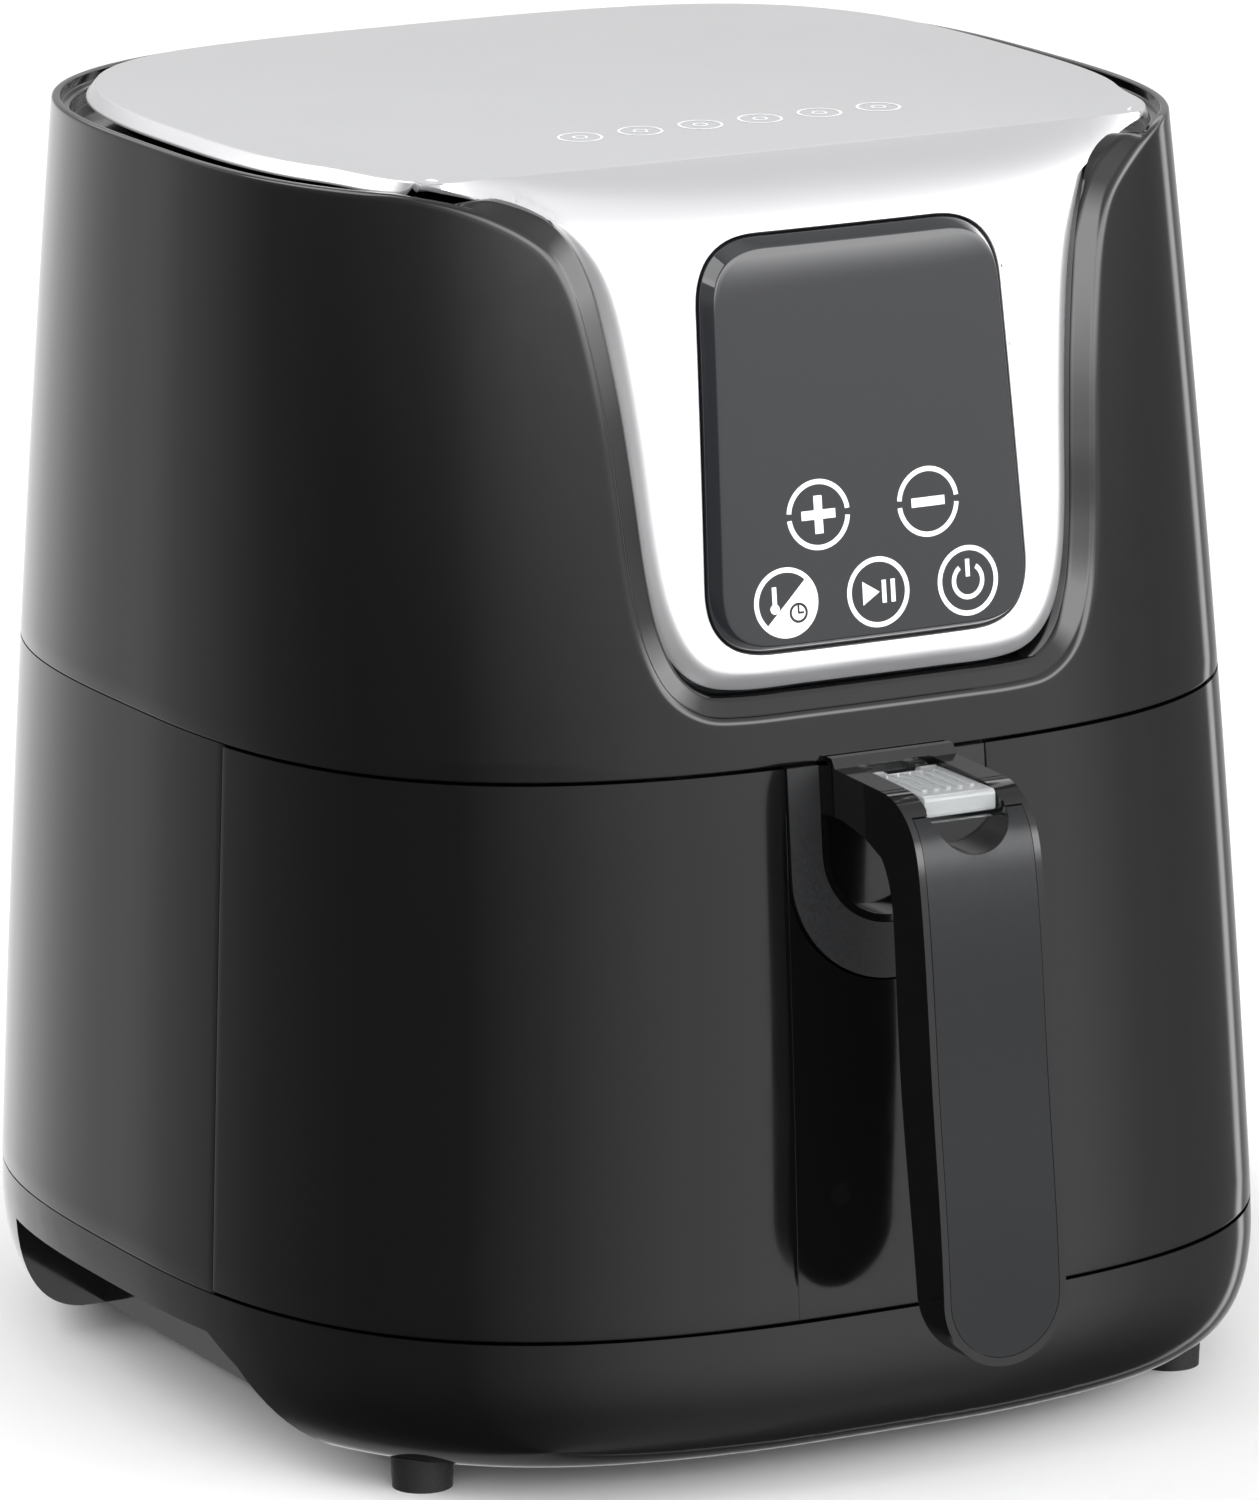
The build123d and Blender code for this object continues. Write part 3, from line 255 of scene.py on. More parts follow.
# ---- materials ----------------------------------------------------------------------------------------
def add(tree, kind, settings=(), **inputs):
    """Adds one node: settings are its own properties, and inputs are values or links for its sockets."""
    made = tree.nodes.new(kind)
    for key, value in dict(settings).items():
        setattr(made, key, value)
    for key, value in inputs.items():
        name = key.replace("_", " ").strip()
        socket = made.inputs[int(name)] if name.isdigit() else made.inputs[name]
        if isinstance(value, bpy.types.NodeSocket):
            tree.links.new(value, socket)
        else:
            socket.default_value = value
    return made


def finish(name, colour, rough, metallic=0.0, grain=None, depth=0.0, shade=0.08, rough_change=0.25,
           stretch=(1, 1, 1), speck=None, **shader):
    """A surface finish: its colour varied a little by a broad cloud, its roughness by a finer one, and its
    grain, of that size in millimetres and that depth in millimetres, as bump. stretch draws the grain out."""
    material = bpy.data.materials.new(name)
    material.use_nodes = True
    tree = material.node_tree
    tree.nodes.clear()
    spot = add(tree, "ShaderNodeTexCoord").outputs["Object"]
    drawn = add(tree, "ShaderNodeMapping", Vector=spot, Scale=stretch).outputs["Vector"]
    cloud = add(tree, "ShaderNodeTexNoise", Vector=spot, Scale=1 / (24 * MM), Detail=4.0).outputs["Fac"]
    fine = add(tree, "ShaderNodeTexNoise", Vector=drawn, Scale=1 / ((grain or 3.0) * MM), Detail=3.0)
    fine = fine.outputs["Fac"]
    dark = tuple(c * (1 - shade) for c in colour[:3]) + (1.0,)
    light = tuple(min(1.0, c * (1 + shade)) for c in colour[:3]) + (1.0,)
    hue = add(tree, "ShaderNodeMix", {"data_type": "RGBA"}, Factor=cloud, _6=dark, _7=light).outputs[2]
    if speck:
        dots = add(tree, "ShaderNodeTexVoronoi", Vector=spot, Scale=1 / (speck[0] * MM)).outputs["Distance"]
        mask = add(tree, "ShaderNodeMapRange", Value=dots, _1=0.06, _2=0.16, _3=1.0, _4=0.0).outputs["Result"]
        hue = add(tree, "ShaderNodeMix", {"data_type": "RGBA"}, Factor=mask, _6=hue, _7=speck[1]).outputs[2]
    rough_at = add(tree, "ShaderNodeMapRange", Value=fine, _1=0.25, _2=0.75, _3=rough * (1 - rough_change),
                   _4=min(1.0, rough * (1 + rough_change))).outputs["Result"]
    values = {"Base_Color": hue, "Roughness": rough_at, "Metallic": metallic, **shader}
    if grain:
        bump = add(tree, "ShaderNodeBump", Height=fine, Strength=1.0, Distance=depth * MM)
        values["Normal"] = bump.outputs["Normal"]
    surface = add(tree, "ShaderNodeBsdfPrincipled", **values)
    add(tree, "ShaderNodeOutputMaterial", Surface=surface.outputs[0])
    return material


def make_finishes(colours):
    """All finishes of the appliance, by the record's material slot."""
    made = {}
    # High-gloss injection-moulded ABS: deep black, clear reflections, a faint orange-peel from the mould.
    made["gloss_black"] = finish("gloss_black_abs", colours.casing, 0.1, grain=9.0, depth=0.0005, IOR=1.52,
                                 Coat_Weight=0.3, Coat_Roughness=0.04)
    # Satin silver lacquer with fine metal flake: broad bright highlights and a slight sparkle.
    made["satin_silver"] = finish("satin_silver_lacquer", colours.panel, 0.32, metallic=0.75, grain=0.5,
                                  depth=0.0015, shade=0.02, rough_change=0.1)
    # Smoked PMMA window: a dark grey body under a polished face.
    made["smoked_glass"] = finish("smoked_acrylic", linear("#232427"), 0.05, shade=0.04, IOR=1.49,
                                  Coat_Weight=0.5, Coat_Roughness=0.03)
    # Spark-eroded black polypropylene: matte with a fine pebble, drawn at 0.9 mm so that it shows.
    made["black_plastic"] = finish("textured_black_pp", linear("#17181a"), 0.48, grain=0.9, depth=0.03,
                                   IOR=1.49)
    # Satin dark-grey painted insert: smooth, softly metallic.
    made["grip_plate"] = finish("satin_graphite_paint", colours.grip, 0.22, metallic=0.3, grain=0.6,
                                depth=0.001, shade=0.05)
    # Moulded clear polycarbonate: colourless, polished, bright at its edges.
    made["clear_plastic"] = finish("clear_polycarbonate", linear("#f4f7f8"), 0.04, shade=0.01, IOR=1.585,
                                   Transmission_Weight=0.72)
    # Fluoropolymer non-stick coating: dark warm grey with fine pale specks.
    made["nonstick"] = finish("speckled_nonstick", linear("#26272a"), 0.38, metallic=0.1, grain=0.8,
                              depth=0.01, speck=(2.4, linear("#55585c")))
    # Hot-dip zinc on sheet steel: large soft spangles.
    made["zinc_steel"] = finish("galvanised_sheet", linear("#a9adb0"), 0.34, metallic=1.0, grain=7.0,
                                depth=0.006, shade=0.12)
    # Drawn stainless steel: bright, with fine lines along its length.
    made["bright_steel"] = finish("drawn_stainless", linear("#c4c7ca"), 0.22, metallic=1.0, grain=0.7,
                                  depth=0.004, stretch=(1, 1, 0.08))
    # Oxidised nickel-alloy sheath: dark, dull, slightly blue from heat.
    made["element_steel"] = finish("heat_oxidised_sheath", linear("#5a5550"), 0.42, metallic=1.0, grain=2.5,
                                   depth=0.004, shade=0.18)
    # As-cast aluminium: light grey with a coarse sandy skin.
    made["cast_aluminium"] = finish("cast_aluminium", linear("#b6b8ba"), 0.44, metallic=1.0, grain=0.9,
                                    depth=0.02)
    # Moulded white polyamide: warm white, faintly mottled.
    made["white_plastic"] = finish("white_polyamide", linear("#e4e2dc"), 0.42, grain=1.2, depth=0.006,
                                   Subsurface_Weight=0.05)
    # Glass-epoxy board: green lacquer over a weave of 0.8 mm threads.
    made["circuit_board"] = finish("green_glass_epoxy", linear("#1f5a37"), 0.36, grain=0.8, depth=0.008,
                                   shade=0.15)
    # Enamelled copper winding: turns of about 0.4 mm, drawn as fine rings.
    made["copper_winding"] = finish("enamelled_copper", linear("#a5552c"), 0.30, metallic=1.0, grain=0.8,
                                    depth=0.05, stretch=(0.1, 0.1, 1))
    # Sintered bronze: dull gold with open pores.
    made["bronze"] = finish("sintered_bronze", linear("#9a7842"), 0.46, metallic=1.0, grain=0.6, depth=0.01)
    # Moulded nitrile rubber: black, dull, with a dusty bloom.
    made["rubber"] = finish("nitrile_rubber", linear("#141415"), 0.62, grain=1.1, depth=0.012, IOR=1.5)
    # Silicone pads: grey and waxy.
    made["silicone"] = finish("grey_silicone", linear("#4c4e50"), 0.5, grain=1.5, depth=0.006, IOR=1.41)
    # Screen-printed white ink: flat and a little rough.
    made["print"] = finish("screen_print_white", linear("#f2f4f6"), 0.5, grain=0.5, depth=0.001, shade=0.02)
    return made


FINISH = {}


# ---- settings a user would change ---------------------------------------------------------------------
class FryerSizes(bpy.types.PropertyGroup):
    edge: bpy.props.FloatProperty(name="Seam edge", default=0.55, min=0.1, max=2.0,
                                  description="Radius of the casing's edges along its seams, mm")
    bevel: bpy.props.FloatProperty(name="Opening bevel", description="Width of the bevel round the panel, mm",
                                   default=5.0, min=2.0, max=8.0)
    roll: bpy.props.FloatProperty(name="Panel roll", description="Width of the panel's rolled edge, mm",
                                  default=3.8, min=1.0, max=6.0)
    key: bpy.props.FloatProperty(name="Key ring", description="Diameter of the touch keys' rings, mm",
                                 default=16.0, min=8.0, max=20.0)


class FryerColours(bpy.types.PropertyGroup):
    casing: bpy.props.FloatVectorProperty(name="Casing", description="Colour of the glossy casing",
                                          subtype="COLOR", size=4, default=linear("#09090a"))
    panel: bpy.props.FloatVectorProperty(name="Panel", description="Colour of the satin panel",
                                         subtype="COLOR", size=4, default=linear("#e2e2e4"))
    grip: bpy.props.FloatVectorProperty(name="Grip insert", description="Colour of the plate in the grip",
                                        subtype="COLOR", size=4, default=linear("#1e1f22"))


# ---- stage --------------------------------------------------------------------------------------------
EYE = Vector((-1.15566, MID_Y * MM - 2.24361, 0.73200))
TARGET = Vector((0.0031, MID_Y * MM - 0.0016, 0.1429))
CAMERA_ROLL = -0.75
LENS = 261.8
FLOOR_HALF = 6.0
# brightness of the studio's walls by bearing from the front in degrees, and above them by the sine of height
WALLS = [(-180, 1.1), (180, 1.1), (-167, 0.9), (-150, 0.34), (-125, 0.16), (-95, 0.09), (-55, 0.1),
         (-25, 0.36), (0, 0.72), (20, 0.95), (45, 0.95), (62, 0.5), (80, 0.32), (100, 0.22), (116, 0.2),
         (119, 1.2), (123, 1.2), (126, 0.2), (140, 0.45), (160, 1.0)]
KEY_WAY = (0.42, -0.91, 0.0)
FRONT_ABOVE = [(-1, 1.0), (1, 0.9), (0.06, 1.2), (0.22, 5.0), (0.42, 5.0), (0.62, 1.3)]
REAR_ABOVE = [(-1, 0.5), (1, 1.0), (0.31, 0.5), (0.4, 1.5), (0.5, 0.45), (0.85, 0.45)]
BRIGHTEST = 10.0
# each lamp's name, place, aim, width and height in metres, and watts
SOFTBOXES = [("left_softbox", (-1.5, 0.6, 1.7), (0, 0, 0.3), (2.0, 1.6), 32.0)]


class FRYER_OT_stage(bpy.types.Operator):
    """Makes the finishes, the floor, the studio surround and the camera"""
    bl_idname = "fryer.stage"
    bl_label = "Stage"

    def execute(self, context):
        FINISH.update(make_finishes(context.scene.fryer_colours))
        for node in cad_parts.values():
            slot = node.data.materials[0].name
            node.material_slots[0].material = FINISH[slot]
        self.floor()
        self.surround(context.scene)
        self.camera(context.scene)
        return {"FINISHED"}

    def floor(self):
        corners = [(x * FLOOR_HALF, y * FLOOR_HALF, 0) for x, y in ((-1, -1), (1, -1), (1, 1), (-1, 1))]
        mesh = bpy.data.meshes.new("floor")
        mesh.from_pydata(corners, [], [(0, 1, 2, 3)])
        mesh.materials.append(finish("matt_white_floor", linear("#f4f4f4"), 0.7, shade=0.01))
        floor = bpy.data.objects.new("floor", mesh)
        floor.visible_glossy = False
        bpy.context.scene.collection.objects.link(floor)

    def surround(self, scene):
        """A studio: walls whose brightness goes by bearing, a bright front above them and a dimmer rear."""
        scene.view_settings.view_transform = "Standard"
        world = bpy.data.worlds.new("studio")
        scene.world = world
        world.use_nodes = True
        tree = world.node_tree
        tree.nodes.clear()
        way = add(tree, "ShaderNodeTexCoord").outputs["Generated"]
        parts = add(tree, "ShaderNodeSeparateXYZ", Vector=way).outputs
        height = parts["Z"]

        def combine(operation, a, b):
            return add(tree, "ShaderNodeMath", {"operation": operation}, _0=a, _1=b).outputs[0]

        def eased(value, start, end, low=0.0):
            """Goes smoothly from low to 1 as the value goes from start to end."""
            smooth = {"interpolation_type": "SMOOTHSTEP"}
            scaled = add(tree, "ShaderNodeMapRange", smooth, Value=value, _1=start, _2=end, _3=low, _4=1.0)
            return scaled.outputs[0]

        ahead = combine("MULTIPLY", parts["Y"], -1.0)
        turn = combine("ARCTAN2", parts["X"], ahead)
        degrees = combine("MULTIPLY", turn, float(np.degrees(1)))
        walls = self.bands(tree, degrees, -180, 180, WALLS)
        front = self.bands(tree, height, -1, 1, FRONT_ABOVE)
        rear = self.bands(tree, height, -1, 1, REAR_ABOVE)
        facing = add(tree, "ShaderNodeVectorMath", {"operation": "DOT_PRODUCT"}, _0=way, _1=KEY_WAY)
        share = eased(facing.outputs["Value"], -0.1, 0.75)
        above = add(tree, "ShaderNodeMix", Factor=share, _2=rear, _3=front).outputs[0]
        dimmed = combine("MULTIPLY", walls, eased(height, -0.75, -0.27, 0.35))
        light = add(tree, "ShaderNodeMix", Factor=eased(height, -0.1, 0.16), _2=dimmed, _3=above).outputs[0]
        tent = add(tree, "ShaderNodeBackground", Color=linear("#ffffff"), Strength=light)
        add(tree, "ShaderNodeOutputWorld", Surface=tent.outputs[0])
        for name, spot, aim, size, power in SOFTBOXES:
            data = bpy.data.lights.new(name, "AREA")
            data.shape = "RECTANGLE"
            data.size, data.size_y = size
            data.energy = power
            lamp = bpy.data.objects.new(name, data)
            lamp.location = spot
            lamp.rotation_euler = (Vector(aim) - Vector(spot)).to_track_quat("-Z", "Y").to_euler()
            scene.collection.objects.link(lamp)

    def bands(self, tree, value, low, high, stops):
        """A brightness that runs straight between stops, each a place from low to high and a brightness."""
        along = add(tree, "ShaderNodeMapRange", Value=value, _1=float(low), _2=float(high)).outputs["Result"]
        ramp = add(tree, "ShaderNodeValToRGB", Fac=along)
        made = ramp.color_ramp.elements
        for at, bright in stops:
            stop = made[0] if at == low else made[-1] if at == high else made.new((at - low) / (high - low))
            stop.color = (*[bright / BRIGHTEST] * 3, 1)
        scaled = add(tree, "ShaderNodeMath", {"operation": "MULTIPLY"}, _0=ramp.outputs[0], _1=BRIGHTEST)
        return scaled.outputs[0]

    def camera(self, scene):
        data = bpy.data.cameras.new("camera")
        data.lens = LENS
        data.sensor_width = 36.0
        data.clip_end = 50.0
        camera = bpy.data.objects.new("camera", data)
        turn = (TARGET - EYE).to_track_quat("-Z", "Y").to_matrix().to_4x4()
        roll = Matrix.Rotation(np.radians(CAMERA_ROLL), 4, "Z")
        camera.matrix_world = Matrix.Translation(EYE) @ turn @ roll
        scene.collection.objects.link(camera)
        scene.camera = camera


# ---- casing shells ------------------------------------------------------------------------------------
ROUND_ROWS = 5
STRAIGHT_ROWS = 14


def skin_shell(u, low, high, edge, middle, closed=True):
    """A shell of the casing between two heights: round the lower edge, up the outer skin, round the upper
    edge and down the inner skin. Each column has its own middle height, below which its rows match its
    neighbours'. Where it is closed, both ends turn in by the edge's radius and meet in the wall's middle."""
    low, high, middle = (height + 0 * u for height in (low, high, middle))
    turn = np.linspace(0, np.pi / 2, ROUND_ROWS)[:, None]
    share = np.linspace(0, 1, STRAIGHT_ROWS)[:, None]
    climb = edge * (1 - np.sin(turn))
    depth = edge * (1 - np.cos(turn))
    lower = low + edge + (middle - low - edge) * share
    upper = middle + (high - edge - middle) * share
    foot = (low + climb)[::-1]
    z = np.vstack([foot, lower, upper, high - climb[::-1], high, upper[::-1], lower[::-1], low, foot[:1]])
    head = ROUND_ROWS + 2 * STRAIGHT_ROWS
    inset = np.zeros_like(z)
    inset[:ROUND_ROWS] = depth[::-1]
    inset[head:head + ROUND_ROWS] = depth
    inset[head + ROUND_ROWS:] = WALL
    inset[-1] = inset[0]
    if closed:
        reach = edge * np.sin(np.append(turn[1:], np.pi / 2))
        taper = np.append(depth[1:], WALL / 2)
        out = np.sign(u[-1] - u[0])
        caps = []
        for column, way in ((0, -out), (-1, out)):
            cap_inset = np.minimum(np.maximum(inset[:, [column]], taper), np.maximum(WALL - taper, WALL / 2))
            cap_z = np.repeat(z[:, [column]], ROUND_ROWS, 1)
            caps.append((u[column] + way * reach, cap_z, cap_inset))
        first, last = caps
        u, z, inset = (np.hstack([a[..., ::-1], b, c]) for a, b, c in zip(first, (u, z, inset), last))
    return casing(u[None], z, inset)


BEVEL_END = 84.0          # from here outwards the opening's bevel turns into the lid's groove
SKIN_MARGIN = 1.8         # plain skin beside the rounded edge
INNER_HIGH = 293.0
# section of the groove round the lid: distance in from the rim's edge, and depth in from the skin
GROOVE = [(SKIN_MARGIN, 0), (0, 0), (0, 1.9), (2.4, 2.2), (2.6, 4.4), (6.4, 4.7), (6.4, 16)]


class FRYER_OT_upper_housing(bpy.types.Operator):
    """Makes the upper casing with its rim, groove and the bevelled opening for the panel"""
    bl_idname = "fryer.upper_housing"
    bl_label = "Upper housing"

    def execute(self, context):
        sizes = context.scene.fryer_sizes
        front = np.array([(bearing(x, z), z) for x, z in OPENING] + [(0.0, OPENING[-1][1])])
        rim = np.array([(u, RIM) for u in np.linspace(np.pi * BEARING_R, front[0, 0] + 12, 8)])
        half = curve(np.vstack([rim, front]), 1.3, 5.0)
        half[:, 1] = np.minimum(half[:, 1], RIM)
        path = np.vstack([half, (half * (-1, 1))[::-1][1:]])
        along = tangents(path)
        away = np.stack([-along[:, 1], along[:, 0]], -1)
        away *= np.where(away[:, 1:] > 0, -1, 1)
        front_part = np.abs(path[:, :1]) < bearing(70.0, 270.0)
        outwards = np.hstack([np.sign(path[:, :1]), -np.ones((len(path), 1))])
        away = np.where(front_part, outwards * np.abs(away), away)
        x = np.abs(casing(path[:, 0], path[:, 1])[:, 0])
        x[np.abs(path[:, 0]) > 1.5 * BEARING_R] = HALF_WIDTH
        share = np.clip((x - BEVEL_END) / 14, 0, 1)
        share = (share * share * (3 - 2 * share))[:, None]
        wide = sizes.bevel * np.clip((98 - x) / 22, 0, 1)[:, None] ** 0.8
        narrow = np.minimum(1, wide / 2)
        reveal = [(SKIN_MARGIN, 0), (0, 0), (-0.9 * narrow, 0.5), (-1.2 * narrow, 1.0), (-wide, 3.2),
                  (-wide - 0.1, 7.5), (-wide - 0.2, 7.6)]
        corners = [np.hstack([out + 0 * wide, deep + 0 * wide]) * (1 - share) + np.array(point) * share
                   for (out, deep), point in zip(reveal, GROOVE)]
        profile = rounded(corners, [0.8, 0.45, 0.35, 0.8, 0.4], 5)
        d, inset = profile[..., 0], profile[..., 1]
        edge = casing(path[:, 0] + d * away[:, 0], path[:, 1] + d * away[:, 1], inset)
        edge[..., 2] = np.minimum(edge[..., 2], RIM)
        start = path + SKIN_MARGIN * away
        u = start[:, 0]
        rows = np.linspace(0, 1, 30)[:, None]
        low = UPPER_LOW + sizes.edge
        skin = casing(u + 0 * rows, low + (start[:, 1] - low) * rows, 0 * rows)
        turn = np.linspace(0, np.pi / 2, ROUND_ROWS)[:, None]
        foot_z = UPPER_LOW + sizes.edge * (1 - np.sin(turn))
        foot = casing(u + 0 * turn, foot_z, sizes.edge * (1 - np.cos(turn)))
        lip = casing(u, UPPER_LOW + 0 * u, WALL + 0 * u)
        high = np.minimum(edge[-1, :, 2], INNER_HIGH)
        inner = casing(u + 0 * rows, high + (UPPER_LOW - high) * rows, WALL + 0 * rows)
        shell = np.concatenate([lip[None], foot[::-1], skin, edge])
        back = np.concatenate([edge[-1:], inner])
        make_piece("upper_casing", [(shell, False), (back, False)], FINISH["gloss_black"], "housing",
                   ["upper_housing"])
        return {"FINISHED"}


class FRYER_OT_top_panel(bpy.types.Operator):
    """Makes the satin panel: the lid, its crease and the fascia with the window's cut-out"""
    bl_idname = "fryer.top_panel"
    bl_label = "Top panel"

    def execute(self, context):
        sizes = context.scene.fryer_sizes
        outer, inner, first, corner = panel_edges(context.scene.fryer_sizes.roll)
        rows = np.arange(len(outer))
        ahead = corner - np.minimum(rows, rows[::-1])
        share = np.clip(ahead / 8 + 0.5, 0, 1)[:, None]
        wall = unit(share * (0, 0, -1) + (1 - share) * (0, 1, 0))
        back = unit(inner - outer - wall * np.sum((inner - outer) * wall, -1, keepdims=True))
        skirt = 0.6 + 2.4 * (1 - share)
        under = outer + skirt * wall
        corners = np.stack([first, inner, outer, under, under + 0.2 * wall + 2.6 * back])
        soft = 0.3 + 1.1 * (1 - share)
        strip = rounded(corners, [(soft, soft), 0.35, 0.2], 6)
        end = first[corner].copy()
        end[1:] = fascia_y(end[0], CREASE_Z), CREASE_Z
        strip[0][corner], strip[0][-1 - corner] = end, end * (-1, 1, 1)
        first = strip[0]
        x = np.linspace(1, -1, 141) * end[0]
        crease = np.stack([x, fascia_y(x, CREASE_Z + 0 * x), CREASE_Z + 0 * x], -1)
        grids = [(strip, False), (self.lid(first[:corner], crease), False),
                 (self.fascia(first[corner:len(first) - corner], crease[::-1]), False)]
        loop = window_loop(0.6)
        grids.append((self.cut_out(loop), True))
        shifted = [(g + (0, MID_Y, 0), r) for g, r in grids]
        make_piece("satin_panel", shifted, FINISH["satin_silver"], "housing", ["top_panel"],
                   sharp=30.0, weld=0.02)
        return {"FINISHED"}

    def lid(self, edge, crease):
        """The lid: straight lines across from each point of its right edge, and closer rows at the crease."""
        edge = edge[1:]
        across = np.linspace(1, -1, len(crease))
        x, y, z = (edge[:, [k]] for k in range(3))
        rows = np.stack([x * across, y + 0 * across, z + 0 * across], -1)
        last = between(rows[-1], crease, 6)[1:-1]
        near = crease + (rows[-1] - crease) * 0.08
        grid = np.concatenate([rows, last, near[None]])
        grid[..., 2] = crest(grid[..., 0], grid[..., 1])
        return np.concatenate([grid, crease[None]])

    def fascia(self, side, crease):
        """The fascia: straight lines in the front view from its edge to the window's, on the fascia's form."""
        loop = np.vstack([side, crease[1:-1]])
        flat = loop[:, ::2]
        window = window_loop(1.4, 400)[:, ::2]
        window = np.roll(window, -nearest(window, (GLASS_TOP[0] - 2, GLASS_TOP[1] - 2)), 0)
        window = window if window[40, 1] < window[0, 1] else np.roll(window[::-1], 1, 0)
        (xt, zt), (xl, zl) = GLASS_TOP, GLASS_LOW
        ends = [(xl - 2, zl + 2), (0, zl), (2 - xl, zl + 2), (2 - xt, zt - 2)]
        marks = [0, *(nearest(window, p) for p in ends), len(window)]
        ends = [(49, 193), (0, 186), (-49, 193)]
        own = [0, *(nearest(side[:, ::2], p) for p in ends), len(side) - 1, len(loop)]
        at = np.interp(np.arange(len(loop)), own, marks)
        window = np.vstack([window, window[:1]])
        inner = np.stack([np.interp(at, np.arange(len(window)), window[:, k]) for k in range(2)], -1)
        grid = between(flat, inner, 64)
        x, z = grid[..., 0], grid[..., 1]
        form = np.stack([x, fascia_y(x, z), z], -1)
        return np.concatenate([form, form[:, :1]], 1)

    def cut_out(self, loop):
        """The rounded edge and wall of the window's cut-out."""
        flat = np.stack([loop[:, 0], loop[:, 2]], -1)
        along = tangents(flat, closed=True)
        out = np.stack([along[:, 1], -along[:, 0]], -1)
        out *= np.sign(np.sum(out * (flat - (0, 243)), -1))[:, None]
        corners = [(0.8, 0), (0, 0), (0, CUT_OUT_DEPTH), (3.0, CUT_OUT_DEPTH)]
        profile = rounded(corners, [0.5, 0.1], 5)
        x = flat[None, :, 0] + profile[:, :1] * out[:, 0]
        z = flat[None, :, 1] + profile[:, :1] * out[:, 1]
        return np.stack([x, fascia_y(x, z) + profile[:, 1:], z], -1)


def crest(x, y):
    """z of the lid: two parabolas along the middle that meet at the crown, falling to the crease and to the
    rear edge, and less of a crown towards the sides."""
    rear = half_size(RIM)[1] - PANEL_INSET
    ahead = (CROWN - CREASE_Z) * ((CREST_Y - y) / (CREST_Y - CREASE_Y)) ** 2
    behind = (CROWN - 301.6) * ((y - CREST_Y) / (rear - CREST_Y)) ** 2
    middle = CROWN - np.where(y < CREST_Y, ahead, behind)
    side = np.minimum(np.abs(x) / rear, 1) ** 2.5
    return middle - np.maximum(middle - LID_SIDE, 0) * side


def fascia_y(x, z):
    """y of the fascia: the casing's front less the inset, turned back over the shoulder to the crease."""
    face = front_y(x, z, FASCIA_INSET)
    v = np.clip((z - SHOULDER_LOW) / (CREASE_Z - SHOULDER_LOW), 0, 1)
    at_crease = front_y(x, CREASE_Z + 0 * z, FASCIA_INSET)
    return face + np.maximum(CREASE_Y - at_crease, 0) * v ** SHOULDER_POWER


def panel_edges(roll):
    """The panel's edge as three lines from the rear's middle over the right side, round the fascia's foot
    and back: the outer edge, sunk below the face, the inner edge of its rounded border, and a line on the
    face just inside. The border narrows towards the crease's right end, whose place comes last."""
    a, b = (s - PANEL_INSET for s in half_size(RIM))
    t = np.linspace(np.pi, 0.72, 26)
    r = ((np.abs(np.sin(t)) / a) ** PLAN_POWER + (np.abs(np.cos(t)) / b) ** PLAN_POWER) ** (-1 / PLAN_POWER)
    plan = np.stack([r * np.sin(t), -r * np.cos(t)], -1)
    plan = np.vstack([plan[plan[:, 1] > -70], TONGUE])
    side = np.hstack([plan, np.full((len(plan), 1), LID_SIDE)])
    turn = np.array([CORNER_X, float(fascia_y(CORNER_X, CREASE_Z)), CREASE_Z - 1])
    front = np.array([(x, float(fascia_y(x, z)), z) for x, z in [*TONGUE_FRONT, (0.0, TONGUE_FRONT[-1][1])]])
    half = curve(np.vstack([side, turn, front]), 1.3, 3.0)
    corner = nearest(half, turn)
    along = tangents(half)
    lid_way = unit(np.stack([along[:, 1], -along[:, 0]], -1))
    face_way = unit(np.stack([-np.abs(along[:, 2]), np.abs(along[:, 0])], -1))
    rows = np.arange(len(half)) - corner
    share = np.clip(rows / 8 + 0.5, 0, 1)
    share = (share * share * (3 - 2 * share))[:, None]
    full = (1 - 0.82 * np.exp(-(rows / 9) ** 2))[:, None]
    lines = []
    lid_sign = np.sign(-lid_way[0, 1])
    for lid_in, face_in in ((0.0, 0.0), (2.2, roll), (3.6, roll + 1.6)):
        lid = half.copy()
        lid[:, :2] += lid_in * full * lid_way * lid_sign
        lid[:, 2] = crest(lid[:, 0], lid[:, 1])
        face = half.copy()
        face[:, ::2] += face_in * full * face_way
        face[:, 2] = np.minimum(face[:, 2], CREASE_Z)
        face[:, 1] = fascia_y(face[:, 0], face[:, 2])
        line = np.where(rows[:, None] <= 0, lid, face)
        if lid_in == 0:
            drop = EDGE_DROP * np.where(rows < 0, 1, full[:, 0])[:, None]
            line = line + drop * ((1 - share) * (0, 0, -1) + share * (0, 1, 0))
        lines.append(line)
    whole = []
    for line in lines:
        line[0, 0] = line[-1, 0] = 0.0
        whole.append(np.vstack([line, (line * (-1, 1, 1))[::-1][1:]]))
    return *whole, corner


def nearest(line, point):
    """Place along a line of its point nearest to another."""
    return int(np.argmin(np.linalg.norm(line - np.asarray(point, float), axis=-1)))


